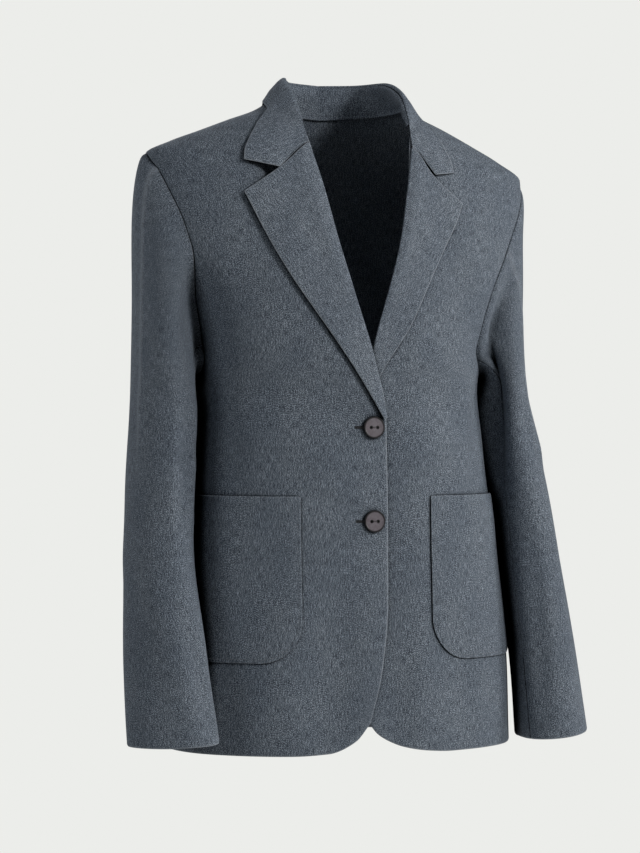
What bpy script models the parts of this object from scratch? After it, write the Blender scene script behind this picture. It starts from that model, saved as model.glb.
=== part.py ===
"""Single-breasted blazer, worn shape, as separate cloth pieces.

Metres, +Z up. The front faces -Y and the wearer's right is at -X. The origin is on the centre
line at the base of the neck, where the wearer's shoulders carry the garment.
"""

import math

import bmesh
import bpy
import numpy as np
from mathutils import Vector

# Cloth
CLOTH = 0.0015
SEAM_GAP = 0.0003
RIGHT, LEFT = -1, 1

# Heights
HEM = -0.705
UNDERARM = -0.305
SHOULDER_TIP = -0.076
NECK_POINT = -0.0060

# The left shoulder hangs lower: slope of the yoke, fading out between two heights
YOKE_TILT = 0.042
TILT_WIDTH = 0.19
TILT_FROM = -0.35
TILT_FULL = -0.08

# The body, ring by ring
# Columns: height, half width, depth to the front, depth to the back, squareness
RINGS = np.array([
    (-0.705, 0.193, 0.138, 0.124, 2.30),
    (-0.640, 0.192, 0.137, 0.122, 2.30),
    (-0.560, 0.185, 0.135, 0.118, 2.30),
    (-0.480, 0.173, 0.132, 0.112, 2.30),
    (-0.400, 0.161, 0.130, 0.107, 2.30),
    (-0.330, 0.154, 0.129, 0.107, 2.30),
    (-0.270, 0.166, 0.127, 0.112, 2.25),
    (-0.210, 0.190, 0.123, 0.117, 2.20),
    (-0.160, 0.206, 0.117, 0.116, 2.20),
    (-0.110, 0.2145, 0.106, 0.110, 2.20),
    (-0.090, 0.2140, 0.100, 0.104, 2.18),
    (-0.076, 0.2135, 0.095, 0.099, 2.15),
    (-0.060, 0.1885, 0.089, 0.091, 2.10),
    (-0.0455, 0.157, 0.083, 0.082, 2.10),
    (-0.0305, 0.124, 0.074, 0.072, 2.05),
    (-0.0168, 0.092, 0.063, 0.063, 2.00),
    (-0.0040, 0.074, 0.052, 0.056, 2.00),
    (0.008, 0.060, 0.044, 0.053, 2.00),
    (0.030, 0.048, 0.036, 0.047, 2.00),
])

# Roll line of the lapel
# Columns: height, distance from the centre front on its own side
ROLL_LINE = np.array([
    (-0.350, -0.0145),
    (-0.280, 0.0015),
    (-0.220, 0.0195),
    (-0.160, 0.0365),
    (-0.100, 0.0495),
    (-0.050, 0.0585),
])

# Front edge below the break and its cutaway, down to the corner, then along the hem
# Columns: distance from the centre front on its own side, height
FRONT_EDGE = {
    RIGHT: np.array([
        (-0.0145, -0.350),
        (-0.0155, -0.460),
        (-0.0140, -0.550),
        (-0.0070, -0.620),
        (0.0060, -0.672),
    ]),
    LEFT: np.array([
        (-0.0145, -0.350),
        (-0.0155, -0.460),
        (-0.0155, -0.560),
        (-0.0135, -0.630),
        (-0.0055, -0.673),
    ]),
}
HEM_CORNER = {
    RIGHT: np.array([
        (0.0060, -0.672),
        (0.0220, -0.691),
        (0.0500, -0.703),
        (0.0900, -0.705),
    ]),
    LEFT: np.array([
        (-0.0055, -0.673),
        (0.0040, -0.684),
        (0.0185, -0.6925),
        (0.0345, -0.6985),
        (0.0600, -0.703),
        (0.0900, -0.705),
    ]),
}

# Armhole, from the underarm up
# Columns: angle from the centre front (90 is the side), height
ARMHOLE_FRONT = {
    RIGHT: np.array([
        (90, -0.305),
        (84, -0.301),
        (76, -0.284),
        (73, -0.252),
        (71.5, -0.216),
        (71, -0.182),
        (73, -0.150),
        (77, -0.120),
        (82, -0.096),
        (90, -0.076),
    ]),
    LEFT: np.array([
        (90, -0.305),
        (76, -0.299),
        (65, -0.278),
        (61, -0.248),
        (63, -0.214),
        (67, -0.180),
        (71, -0.150),
        (76, -0.120),
        (82, -0.096),
        (90, -0.076),
    ]),
}
ARMHOLE_BACK = np.array([
    (90, -0.305),
    (101, -0.300),
    (110, -0.280),
    (114, -0.245),
    (113, -0.200),
    (108, -0.152),
    (101, -0.112),
    (90, -0.076),
])
ARMHOLE_GAP = 0.0007

# Lapel: outer edge from the break up to the tip, and the top edge from roll line to tip
# Columns: distance from the centre front on its own side, height
LAPEL_OUTER = {
    RIGHT: np.array([
        (-0.0118, -0.3530),
        (0.0166, -0.3060),
        (0.0462, -0.2604),
        (0.0675, -0.2290),
        (0.0819, -0.2074),
        (0.1006, -0.1762),
        (0.1146, -0.1488),
        (0.1296, -0.1165),
    ]),
    LEFT: np.array([
        (-0.0118, -0.3530),
        (0.0098, -0.3051),
        (0.0436, -0.2520),
        (0.0701, -0.1984),
        (0.1007, -0.1414),
        (0.1113, -0.1179),
    ]),
}
LAPEL_TOP = {
    RIGHT: np.array([
        (0.0590, -0.0600),
        (0.0920, -0.0886),
        (0.1296, -0.1165),
    ]),
    LEFT: np.array([
        (0.0590, -0.0600),
        (0.0809, -0.0918),
        (0.1113, -0.1179),
    ]),
}
LAPEL_WRAP = 0.0015

# How far the lapel and the collar's end stand off the chest at their outer edge
LAPEL_LOW_LIFT = 0.0023
LAPEL_LIFT = {RIGHT: 0.0120, LEFT: 0.0035}
COLLAR_END_LIFT = {RIGHT: 0.0110, LEFT: 0.0030}

# How far the left front lies under the right one, and over what width it comes back out
LAP_DROP = 0.0050
LAP_INNER = 0.012
LAP_OUTER = 0.060

# Collar, from the centre back (0) to the gorge (1): the fold in space, and the outer edge and
# the neck seam as angle and height on the body
# Columns: share of the way, x, y, z
COLLAR_FOLD = np.array([
    (0.00, 0.0000, 0.0620, 0.020),
    (0.25, 0.0380, 0.0480, 0.0205),
    (0.50, 0.0550, 0.0050, 0.0185),
    (0.70, 0.0625, -0.0350, 0.004),
    (0.85, 0.0615, -0.0620, -0.021),
    (1.00, 0.0585, -0.0875, -0.0570),
])
# Columns: share of the way, angle, height
COLLAR_EDGE = {
    RIGHT: np.array([
        (0.00, 180.0, -0.036),
        (0.25, 140.0, -0.029),
        (0.50, 100.0, -0.0085),
        (0.70, 67.5, -0.0225),
        (0.85, 60.0, -0.0475),
        (1.00, 56.9, -0.0846),
    ]),
    LEFT: np.array([
        (0.00, 180.0, -0.036),
        (0.25, 140.0, -0.029),
        (0.50, 95.0, -0.0085),
        (0.70, 57.0, -0.0265),
        (0.85, 52.0, -0.0540),
        (1.00, 49.3, -0.0856),
    ]),
}
NECK_SEAM = np.array([
    (0.00, 180.0, -0.0120),
    (0.25, 140.0, -0.0095),
    (0.50, 90.0, -0.0060),
    (0.70, 62.0, -0.0140),
    (0.85, 47.0, -0.0320),
    (1.00, 36.0, -0.0540),
])
COLLAR_LIFT = 0.0026
NOTCH_DIP = {RIGHT: 0.0215, LEFT: 0.0195}
NOTCH_SHIFT = -0.06
STAND_END = 0.82
STAND_INSET = 0.0037
STAND_BELOW = 0.0030

# The fall's profile from the fold to the outer edge: share of the way, and how far it stands
# up and out from the straight line between them
# Columns: share, up, out
FALL_PROFILE = np.array([
    (0.00, 0.0000, 0.0000),
    (0.02, 0.0030, 0.0006),
    (0.08, 0.0044, 0.0024),
    (0.24, 0.0034, 0.0042),
    (0.50, 0.0015, 0.0045),
    (0.75, 0.0003, 0.0025),
    (1.00, 0.0000, 0.0000),
])

# Patch pockets: inner side from the centre front, outer side as an angle, heights, corner radius
POCKET_INNER = {RIGHT: 0.078, LEFT: 0.066}
POCKET_OUTER_ANGLE = 83.0
POCKET_WIDTH = 0.152
POCKET_TOP = -0.434
POCKET_BOTTOM = -0.608
POCKET_CORNER = 0.045
POCKET_LIFT = 0.0024

# Sleeves, section by section
# Columns: height, distance out, distance forward, half width front to back, half width across,
# turn in (degrees), how far the inner back is pressed towards the body
SLEEVES = {
    RIGHT: np.array([
        (-0.345, 0.2000, 0.018, 0.062, 0.0340, 0, 0.018),
        (-0.440, 0.2090, 0.036, 0.060, 0.0340, 2, 0.014),
        (-0.520, 0.2140, 0.056, 0.057, 0.0345, 7, 0.0075),
        (-0.600, 0.2140, 0.078, 0.055, 0.0360, 24, 0.0070),
        (-0.690, 0.2120, 0.100, 0.054, 0.0380, 40, 0.012),
    ]),
    LEFT: np.array([
        (-0.345, 0.1905, 0.004, 0.064, 0.0305, 0, 0.010),
        (-0.440, 0.2055, 0.020, 0.061, 0.0335, 3, 0.007),
        (-0.520, 0.2145, 0.036, 0.058, 0.0350, 7, 0),
        (-0.600, 0.2237, 0.048, 0.056, 0.0360, 11, 0),
        (-0.697, 0.2330, 0.060, 0.054, 0.0375, 15, 0.010),
    ]),
}
PRESS_TURN = 205
CUFF_SLOPE = {RIGHT: -0.05, LEFT: 0.10}
CAP_REACH_TOP = {RIGHT: 0.024, LEFT: 0.0135}
CAP_REACH_UNDER = 0.016
VENT_LENGTH = 0.090
VENT_GAP = 0.0012

# Buttons
BUTTON_HEIGHTS = {"button_upper": -0.361, "button_lower": -0.460}
BUTTON_RADIUS = 0.0118
BUTTON_THICKNESS = 0.0038
BUTTON_SEAT = 0.0005
BUTTON_RIM = 0.0022
BUTTON_DISH = 0.0007
BUTTON_HOLE_RADIUS = 0.0013
BUTTON_HOLE_SPACING = 0.0070

# Facets
SIDE_ROWS = 12
ARMHOLE_ROWS = 9
SHOULDER_ROWS = 6
CUTAWAY_ROWS = 4
NECK_DIP_ROWS = 4
FRONT_COLUMNS = 8
BACK_COLUMNS = 16
SLEEVE_UPPER_ROWS = 6
SLEEVE_LOWER_ROWS = 9
FORE_SEAM = 2
HIND_SEAM = 14


def smooth_value(table, key, column):
    """A table's column as a smooth function of its first column, with no overshoot."""
    keys, values = table[:, 0], table[:, column]
    rises = np.diff(values) / np.diff(keys)
    total = rises[:-1] + rises[1:]
    turning = rises[:-1] * rises[1:] <= 0
    inner = 2 * rises[:-1] * rises[1:] / np.where(turning, 1, total)
    slopes = np.concatenate([rises[:1], np.where(turning, 0, inner), rises[-1:]])
    key = np.clip(key, keys[0], keys[-1])
    row = np.clip(np.searchsorted(keys, key) - 1, 0, len(keys) - 2)
    span = keys[row + 1] - keys[row]
    t = (key - keys[row]) / span
    start = (2 * t**3 - 3 * t**2 + 1) * values[row] + (t**3 - 2 * t**2 + t) * span * slopes[row]
    end = (3 * t**2 - 2 * t**3) * values[row + 1] + (t**3 - t**2) * span * slopes[row + 1]
    return start + end


def smooth_step(value, low, high):
    t = np.clip((value - low) / (high - low), 0, 1)
    return t * t * (3 - 2 * t)


def along_curve(points, count):
    """A smooth curve through a few points, as count + 1 points at even steps of its length."""
    points = np.asarray(points, float)
    steps = np.linalg.norm(np.diff(points, axis=0) * curve_scale(points), axis=1)
    table = np.column_stack([np.concatenate([[0], np.cumsum(steps)]), points])
    place = np.linspace(0, table[-1, 0], count + 1)
    return np.column_stack([smooth_value(table, place, c + 1) for c in range(points.shape[1])])


def curve_scale(points):
    """Angles in degrees weigh as lengths on a body about 0.19 m from its axis."""
    degrees = np.abs(points[:, 0]).max() > 1
    return np.array([math.radians(0.19) if degrees else 1.0, 1.0])


def body_radius(angle, height):
    """Distance from the axis to the outer face of the body cloth. Angles in degrees."""
    half_width = smooth_value(RINGS, height, 1)
    depth = np.where(np.cos(np.radians(angle)) > 0,
                     smooth_value(RINGS, height, 2), smooth_value(RINGS, height, 3))
    power = smooth_value(RINGS, height, 4)
    across = np.abs(np.sin(np.radians(angle))) / half_width
    along = np.abs(np.cos(np.radians(angle))) / depth
    return (across**power + along**power) ** (-1 / power)


def tilted(points):
    """The yoke's tilt: the wearer's left side hangs lower."""
    weight = smooth_step(points[..., 2], TILT_FROM, TILT_FULL)
    reach = points[..., 0] * np.abs(points[..., 0]) / TILT_WIDTH
    points[..., 2] -= YOKE_TILT * reach * weight
    return points


def body_points(angle, height, inward=0.0):
    radius = body_radius(angle, height) - inward
    turn = np.radians(angle)
    return np.stack([radius * np.sin(turn), -radius * np.cos(turn), height + 0 * turn], axis=-1)


def angle_at(distance, height):
    """The angle where the body's front is this far from the centre line."""
    angle = np.degrees(np.arctan2(distance, smooth_value(RINGS, height, 2)))
    for _ in range(12):
        ratio = np.clip(distance / body_radius(angle, height), -0.999, 0.999)
        angle = 0.5 * (angle + np.degrees(np.arcsin(ratio)))
    return angle


def as_angles(curve):
    """A curve of distance and height on the front, as angle and height."""
    return np.column_stack([angle_at(curve[:, 0], curve[:, 1]), curve[:, 1]])


def patch(bottom, top, left, right):
    """The grid between four edges: bottom and top run from left to right, the others upwards."""
    u = np.linspace(0, 1, len(bottom))[None, :, None]
    v = np.linspace(0, 1, len(left))[:, None, None]
    across = (1 - u) * left[:, None] + u * right[:, None]
    upward = (1 - v) * bottom[None] + v * top[None]
    corners = ((1 - u) * (1 - v) * bottom[0] + u * (1 - v) * bottom[-1]
               + (1 - u) * v * top[0] + u * v * top[-1])
    return across + upward - corners


def unit(vectors):
    return vectors / np.linalg.norm(vectors, axis=-1, keepdims=True)


def grid_normals(points):
    """Unit normals of a grid whose rows run up and whose columns run to the wearer's left."""
    return unit(np.cross(np.gradient(points, axis=1), np.gradient(points, axis=0)))


def body_normals(angle, height):
    """Unit normals of the body's outer face."""
    step_angle, step_height = 0.5, 0.0005
    around = body_points(angle + step_angle, height) - body_points(angle - step_angle, height)
    upward = body_points(angle, height + step_height) - body_points(angle, height - step_height)
    return unit(np.cross(around, upward))


def clear_of_body(points, side, lift):
    """Points moved out along the body's normal until they lie at least lift above it."""
    points = points * (side, 1, 1)
    for _ in range(6):
        height = points[..., 2]
        angle = np.degrees(np.arctan2(points[..., 0], -points[..., 1]))
        normals = body_normals(angle, height)
        level = np.hypot(normals[..., 0], normals[..., 1])
        clear = (np.hypot(points[..., 0], points[..., 1]) - body_radius(angle, height)) * level
        points = points + normals * np.maximum(lift - clear, 0)[..., None]
    return points * (side, 1, 1)


def new_material(name, colour, roughness, metallic=0.0):
    material = bpy.data.materials.new(name)
    material.use_nodes = True
    shader = material.node_tree.nodes["Principled BSDF"]
    shader.inputs["Base Color"].default_value = (*colour, 1)
    shader.inputs["Roughness"].default_value = roughness
    shader.inputs["Metallic"].default_value = metallic
    material.diffuse_color = (*colour, 1)
    return material


def new_object(name, mesh, material):
    piece = bpy.data.objects.new(name, mesh)
    bpy.context.scene.collection.objects.link(piece)
    mesh.materials.append(material)
    return piece


def cloth_piece(name, outer, normals, material):
    """A sheet of cloth: the grid of its outer face, an inner face one wall behind, and a rim."""
    inner = outer - normals * CLOTH
    rows, columns = outer.shape[:2]
    form = bmesh.new()
    front = [[form.verts.new(Vector(point)) for point in row] for row in outer]
    behind = [[form.verts.new(Vector(point)) for point in row] for row in inner]
    for r in range(rows - 1):
        for c in range(columns - 1):
            for face in (front, behind):
                form.faces.new((face[r][c], face[r][c + 1], face[r + 1][c + 1], face[r + 1][c]))
    rim = ([(0, c) for c in range(columns)] + [(r, columns - 1) for r in range(1, rows)]
           + [(rows - 1, c) for c in range(columns - 2, -1, -1)]
           + [(r, 0) for r in range(rows - 2, 0, -1)])
    for (r, c), (next_r, next_c) in zip(rim, rim[1:] + rim[:1]):
        form.faces.new((front[r][c], front[next_r][next_c], behind[next_r][next_c], behind[r][c]))
    bmesh.ops.recalc_face_normals(form, faces=form.faces)
    bmesh.ops.triangulate(form, faces=form.faces, quad_method="SHORT_EDGE")
    mesh = bpy.data.meshes.new(name)
    form.to_mesh(mesh)
    form.free()
    mesh.shade_smooth()
    mesh.set_sharp_from_angle(angle=math.radians(50))
    return new_object(name, mesh, material)


def side_boundary(armhole):
    """Angles and heights up the side seam, round the armhole and in along the shoulder seam."""
    seam = np.column_stack([np.full(SIDE_ROWS + 1, 90.0),
                            np.linspace(HEM, UNDERARM, SIDE_ROWS + 1)])
    shoulder = np.column_stack([np.full(SHOULDER_ROWS, 90.0),
                                np.linspace(SHOULDER_TIP, NECK_POINT, SHOULDER_ROWS + 1)[1:]])
    return np.concatenate([seam, along_curve(armhole, ARMHOLE_ROWS)[1:], shoulder])


def drawn_in(boundary, direction):
    """A side boundary moved along the body by half a seam's gap, towards its own panel."""
    moved = boundary.copy()
    radius = body_radius(boundary[:, 0], boundary[:, 1])
    moved[:, 0] += direction * np.degrees(SEAM_GAP / 2 / radius)
    return moved


def inner_angle(height, side):
    """The front's inner boundary: front edge, roll line and neck seam, as one function."""
    edge = as_angles(FRONT_EDGE[side][::-1])[:, ::-1]
    roll = as_angles(ROLL_LINE[1:, ::-1])[:, ::-1]
    neck = NECK_SEAM[::-1, [2, 1]][1:4]
    return smooth_value(np.concatenate([edge, roll, neck]), height, 1)


def front_grid(side):
    """One front as angles and heights, on its own side. Its rows are level above the hem."""
    right = drawn_in(side_boundary(ARMHOLE_FRONT[side]), -1)
    fade = (1 - smooth_step(np.arange(len(right)), 0, CUTAWAY_ROWS))[:, None]
    heights = right[:, 1] + (FRONT_EDGE[side][-1, 1] - HEM) * fade[:, 0]
    left = np.column_stack([inner_angle(heights, side), heights])
    across = np.linspace(0, 1, FRONT_COLUMNS + 1)[None, :, None]
    grid = left[:, None] * (1 - across) + right[:, None] * across
    corner = as_angles(HEM_CORNER[side])
    hem = along_curve(np.concatenate([corner, [(60.0, HEM), right[0]]]), FRONT_COLUMNS)
    return grid + (hem - grid[0])[None] * fade[:, None]


def front_points(grid, side):
    """A grid on a front, in space; the left front passes under the right one."""
    points = body_points(grid[..., 0], grid[..., 1])
    if side == LEFT:
        under = 1 - smooth_step(points[..., 0], LAP_INNER, LAP_OUTER)
        below = 1 - smooth_step(grid[..., 1], -0.30, -0.16)
        points = body_points(grid[..., 0], grid[..., 1], LAP_DROP * under * below)
    return points * (side, 1, 1)


def lifted(grid, side, lift):
    """A grid on a front, moved out along the cloth's normal by lift, and its normals."""
    points = front_points(grid, side)
    points = points + grid_normals(points) * side * lift[..., None]
    return tilted(points), grid_normals(points) * side


def make_front(name, side, material):
    grid = front_grid(side)
    normals = body_normals(grid[..., 0], grid[..., 1]) * (side, 1, 1)
    cloth_piece(name, tilted(front_points(grid, side)), normals, material)


def back_grid():
    """The back as angles and heights, from the wearer's left side round to the right."""
    near = drawn_in(side_boundary(ARMHOLE_BACK), 1)
    across = np.linspace(0, 1, BACK_COLUMNS + 1)[None, :, None]
    far = near * (-1, 1) + (360, 0)
    grid = near[:, None] * (1 - across) + far[:, None] * across
    middle = np.minimum(grid[-1, :, 0], 360 - grid[-1, :, 0])
    seam = smooth_value(NECK_SEAM[:3, [1, 2]][::-1], middle, 1) - NECK_POINT
    rows = np.arange(len(near))
    weight = smooth_step(rows, len(near) - 1 - NECK_DIP_ROWS, len(near) - 1)
    grid[..., 1] += weight[:, None] * seam[None]
    return grid


def make_back(material):
    grid = back_grid()
    points = body_points(grid[..., 0], grid[..., 1])
    cloth_piece("back", tilted(points), body_normals(grid[..., 0], grid[..., 1]), material)


def make_lapel(name, side, material):
    rows, columns = 13, 5
    roll = np.column_stack([ROLL_LINE[:, 1] - LAPEL_WRAP, ROLL_LINE[:, 0]])
    roll[-1] = LAPEL_TOP[side][0] - (LAPEL_WRAP, 0)
    left = along_curve(roll, rows)
    right = along_curve(LAPEL_OUTER[side], rows)
    bottom = np.linspace(left[0], right[0], columns + 1)
    top = along_curve(LAPEL_TOP[side], columns)
    top[0] = left[-1]
    flat = patch(bottom, top, left, right)
    grid = np.stack([angle_at(flat[..., 0], flat[..., 1]), flat[..., 1]], axis=-1)
    across = np.linspace(0, 1, columns + 1)[None, :]
    rise = smooth_step(flat[..., 1], -0.35, -0.17)
    more = LAPEL_LIFT[side] - LAPEL_LOW_LIFT
    points, normals = lifted(grid, side, LAPEL_LOW_LIFT + more * across * (0.15 + 0.85 * rise))
    cloth_piece(name, points, normals, material)


def make_pocket(name, side, material):
    inner = POCKET_INNER[side]
    arc = POCKET_CORNER
    turns = np.radians(np.linspace(0, 45, 3))
    width = POCKET_WIDTH
    upright = [(0.0, POCKET_TOP), (0.0, POCKET_TOP * 0.5 + (POCKET_BOTTOM + arc) * 0.5)]
    inner_side = upright + [(arc - arc * math.cos(t), POCKET_BOTTOM + arc - arc * math.sin(t))
                            for t in turns]
    base = [(arc - arc * math.sin(t), POCKET_BOTTOM + arc - arc * math.cos(t)) for t in turns[::-1]]
    lower = base + [(width - x, z) for x, z in base[::-1]]
    left = along_curve(np.array(inner_side)[::-1], 8)
    right = np.column_stack([width - left[:, 0], left[:, 1]])
    bottom = along_curve(np.array(lower), 8)
    top = np.column_stack([np.linspace(0, width, 9), np.full(9, POCKET_TOP)])
    flat = patch(bottom, top, left, right)
    start = angle_at(np.full(flat.shape[:2], inner), flat[..., 1])
    grid = flat.copy()
    grid[..., 0] = start + (POCKET_OUTER_ANGLE - start) * flat[..., 0] / width
    points, normals = lifted(grid, side, np.full(grid.shape[:2], POCKET_LIFT))
    cloth_piece(name, points, normals, material)


def armhole_loop(side):
    """The armhole from the underarm up the front to the tip and down the back, in space."""
    front = along_curve(ARMHOLE_FRONT[side], ARMHOLE_ROWS)
    back = along_curve(ARMHOLE_BACK, ARMHOLE_ROWS)[::-1]
    loop = np.concatenate([front, back[1:]])
    points = body_points(loop[:, 0], loop[:, 1])
    away = unit(np.cross(body_normals(loop[:, 0], loop[:, 1]), np.gradient(points, axis=0)))
    middle = points.mean(axis=0)
    away *= np.sign(np.sum(away * (middle - points), axis=1))[:, None]
    return tilted((points + away * ARMHOLE_GAP) * (side, 1, 1))


def sleeve_ring(side, height, turns):
    """One section of a sleeve: turns in radians, 0 at the front, a quarter turn at the outside."""
    table = SLEEVES[side][::-1]
    out, forward, long_half, short_half, turn_in, press = (
        smooth_value(table, height, column) for column in range(1, 7))
    lean = math.radians(turn_in)
    across = short_half * np.sin(turns)
    ahead = long_half * np.cos(turns)
    x = out + across * math.cos(lean) - ahead * math.sin(lean)
    y = -forward - ahead * math.cos(lean) - across * math.sin(lean)
    x -= press * np.maximum(0, np.cos(turns - math.radians(PRESS_TURN))) ** 2
    slope = CUFF_SLOPE[side] * smooth_step(-height, 0.40, 0.69)
    z = height + slope * (x - out)
    return np.column_stack([side * x, y, z])


def sleeve_rows(side):
    """All the sections of a sleeve, from the armhole to the cuff."""
    loop = armhole_loop(side)
    columns = len(loop)
    turns = np.radians(np.linspace(-90, 270, columns))
    table = SLEEVES[side]
    first = sleeve_ring(side, table[0, 0], turns)
    second = sleeve_ring(side, table[0, 0] - 0.02, turns)
    down = (first - second) / 0.02
    outer = 0.5 + 0.5 * np.sin(turns)
    reach = CAP_REACH_UNDER + (CAP_REACH_TOP[side] - CAP_REACH_UNDER) * outer
    start = loop
    lead = start + reach[:, None] * np.array([side, 0, 0.06])
    length = np.linalg.norm(first - start, axis=1)[:, None]
    arrive = first + down * (0.25 + 0.25 * outer[:, None]) * length
    rows = []
    for t in np.linspace(0, 1, SLEEVE_UPPER_ROWS + 1) ** 1.25:
        s = 1 - t
        rows.append(s**3 * start + 3 * s * s * t * lead + 3 * s * t * t * arrive + t**3 * first)
    for height in np.linspace(table[0, 0], table[-1, 0], SLEEVE_LOWER_ROWS + 1)[1:]:
        rows.append(sleeve_ring(side, height, turns))
    return np.array(rows)[::-1]


def narrowed(points, vent_edge):
    """A part of a sleeve drawn in at both seams; below the vent's top its slit is wider."""
    points = points.copy()
    rise = points[..., 2] - points[0, :, 2].min()
    for edge, inside in ((0, 1), (-1, -2)):
        slit = (edge == vent_edge) & (rise[:, edge] < VENT_LENGTH)
        gap = np.where(slit, VENT_GAP, SEAM_GAP) / 2
        points[:, edge] += unit(points[:, inside] - points[:, edge]) * gap[:, None]
    return points


def make_sleeve(side, word, material):
    rows = sleeve_rows(side)
    columns = rows.shape[1] - 1
    ring = np.concatenate([rows[:, -2:-1], rows[:, :-1], rows[:, :2]], axis=1)
    normals = grid_normals(ring)[:, 1:-1] * side
    around = np.concatenate([rows[:, :-1], rows[:, :FORE_SEAM + 1]], axis=1)
    facing_out = np.concatenate([normals[:, :-1], normals[:, :FORE_SEAM + 1]], axis=1)
    parts = {
        "top_sleeve": (FORE_SEAM, HIND_SEAM, 0),
        "under_sleeve": (HIND_SEAM, columns + FORE_SEAM, -1),
    }
    for part, (first, last, vent_edge) in parts.items():
        points = narrowed(around[:, first:last + 1], vent_edge)
        cloth_piece(f"{part}_{word}", points, facing_out[:, first:last + 1], material)


def collar_side(along, side):
    """Fold, outer edge and neck seam of one half of the collar, as rows of points."""
    fold = np.column_stack([smooth_value(COLLAR_FOLD, along, c) for c in (1, 2, 3)])
    edge = [smooth_value(COLLAR_EDGE[side], along, c) for c in (1, 2)]
    seam = [smooth_value(NECK_SEAM, along, c) for c in (1, 2)]
    outer = body_points(edge[0], edge[1], -COLLAR_LIFT)
    outer[:, 2] += COLLAR_LIFT
    neck = body_points(seam[0], seam[1])
    for rows in (fold, outer, neck):
        rows[:, 0] *= side
    return fold, outer, neck


def both_sides(count, reach):
    """Collar rows from the right end to the left end, through the centre back."""
    along = np.linspace(0, reach, count + 1)
    right = collar_side(along[::-1], RIGHT)
    left = collar_side(along, LEFT)
    rows = [np.concatenate([a, b[1:]]) for a, b in zip(right, left)]
    return np.concatenate([along[::-1], along[1:]]), rows


def make_collar(material):
    along, (fold, outer, _) = both_sides(12, 1.0)
    away = unit((outer - fold) * (1, 1, 0))
    free = np.interp(along, [0, 0.6, 1.0], [1.0, 1.0, 0.3])[:, None]
    end = smooth_step(along, 0.62, 1.0)
    stands_off = np.where(outer[:, 0] < 0, COLLAR_END_LIFT[RIGHT], COLLAR_END_LIFT[LEFT]) * end
    dip = np.where(outer[:, 0] < 0, NOTCH_DIP[RIGHT], NOTCH_DIP[LEFT]) * end
    rows = []
    for share, up, out in FALL_PROFILE:
        middle = 1 - abs(2 * share - 1)
        way = (share + NOTCH_SHIFT * end * middle)[:, None]
        row = fold + (outer - fold) * way + free * (away * out + np.array([0, 0, up]))
        row[:, 2] -= dip * middle
        lift = np.maximum(COLLAR_LIFT, stands_off * share)
        rows.append(clear_of_body(row, 1, lift) if share > 0.05 else row)
    points = np.array(rows[::-1])
    cloth_piece("collar_fall", tilted(points), -grid_normals(points), material)


def make_stand(material):
    along, (fold, _, neck) = both_sides(11, STAND_END)
    inward = -unit(neck * (1, 1, 0)) * (STAND_INSET * smooth_step(along, 0.3, 0.7))[:, None]
    low = neck + inward * 0.7 + np.array([0, 0, SEAM_GAP * 2])
    high = fold + inward - np.array([0, 0, STAND_BELOW])
    points = np.array([low + (high - low) * w for w in np.linspace(0, 1, 4)])
    cloth_piece("collar_stand", tilted(points), grid_normals(points), material)


def make_button(name, height, material):
    """A turned disc with a raised rim and two holes, flat on the right front."""
    profile = [
        (0.0, BUTTON_THICKNESS - BUTTON_DISH),
        (BUTTON_RADIUS - BUTTON_RIM, BUTTON_THICKNESS - BUTTON_DISH),
        (BUTTON_RADIUS - BUTTON_RIM * 0.6, BUTTON_THICKNESS),
        (BUTTON_RADIUS - BUTTON_RIM * 0.3, BUTTON_THICKNESS),
        (BUTTON_RADIUS, BUTTON_THICKNESS * 0.6),
        (BUTTON_RADIUS * 0.93, BUTTON_THICKNESS * 0.2),
        (BUTTON_RADIUS * 0.80, 0.0),
        (0.0, 0.0),
    ]
    form = bmesh.new()
    line = [form.verts.new((radius, 0, z)) for radius, z in profile]
    edges = [form.edges.new(pair) for pair in zip(line, line[1:])]
    bmesh.ops.spin(form, geom=line + edges, axis=(0, 0, 1), cent=(0, 0, 0),
                   steps=32, angle=math.tau, use_merge=True)
    bmesh.ops.remove_doubles(form, verts=form.verts, dist=1e-5)
    bmesh.ops.recalc_face_normals(form, faces=form.faces)
    mesh = bpy.data.meshes.new(name)
    form.to_mesh(mesh)
    form.free()
    mesh.shade_smooth()
    mesh.set_sharp_from_angle(angle=math.radians(35))
    button = new_object(name, mesh, material)
    place = tilted(body_points(np.array([0.0]), np.array([height])))[0]
    button.rotation_euler = (math.radians(90), 0, 0)
    button.location = place + np.array([0, -BUTTON_SEAT, 0])
    for side in (-1, 1):
        hole = bpy.data.meshes.new(f"{name}_hole")
        cutter = bmesh.new()
        bmesh.ops.create_cone(cutter, cap_ends=True, segments=12, radius1=BUTTON_HOLE_RADIUS,
                              radius2=BUTTON_HOLE_RADIUS, depth=BUTTON_THICKNESS * 4)
        cutter.to_mesh(hole)
        cutter.free()
        tool = bpy.data.objects.new(f"{name}_hole", hole)
        bpy.context.scene.collection.objects.link(tool)
        tool.parent = button
        tool.location = (side * BUTTON_HOLE_SPACING / 2, 0, 0)
        tool.rotation_euler = (0, 0, math.radians(11))
        tool.hide_render = True
        tool.display_type = "WIRE"
        cut = button.modifiers.new("hole", "BOOLEAN")
        cut.operation = "DIFFERENCE"
        cut.solver = "EXACT"
        cut.object = tool
    return button


def main():
    for thing in list(bpy.data.objects):
        bpy.data.objects.remove(thing)
    cloth = new_material("suiting", (0.115, 0.133, 0.158), 0.85)
    facing = new_material("suiting_facing", (0.125, 0.143, 0.168), 0.85)
    resin = new_material("button_resin", (0.11, 0.095, 0.095), 0.45)
    for side, word in ((RIGHT, "right"), (LEFT, "left")):
        make_front(f"front_{word}", side, cloth)
        make_lapel(f"lapel_{word}", side, facing)
        make_pocket(f"pocket_{word}", side, cloth)
        make_sleeve(side, word, cloth)
    make_back(cloth)
    make_collar(facing)
    make_stand(cloth)
    for name, height in BUTTON_HEIGHTS.items():
        make_button(name, height, resin)


main()
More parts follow.
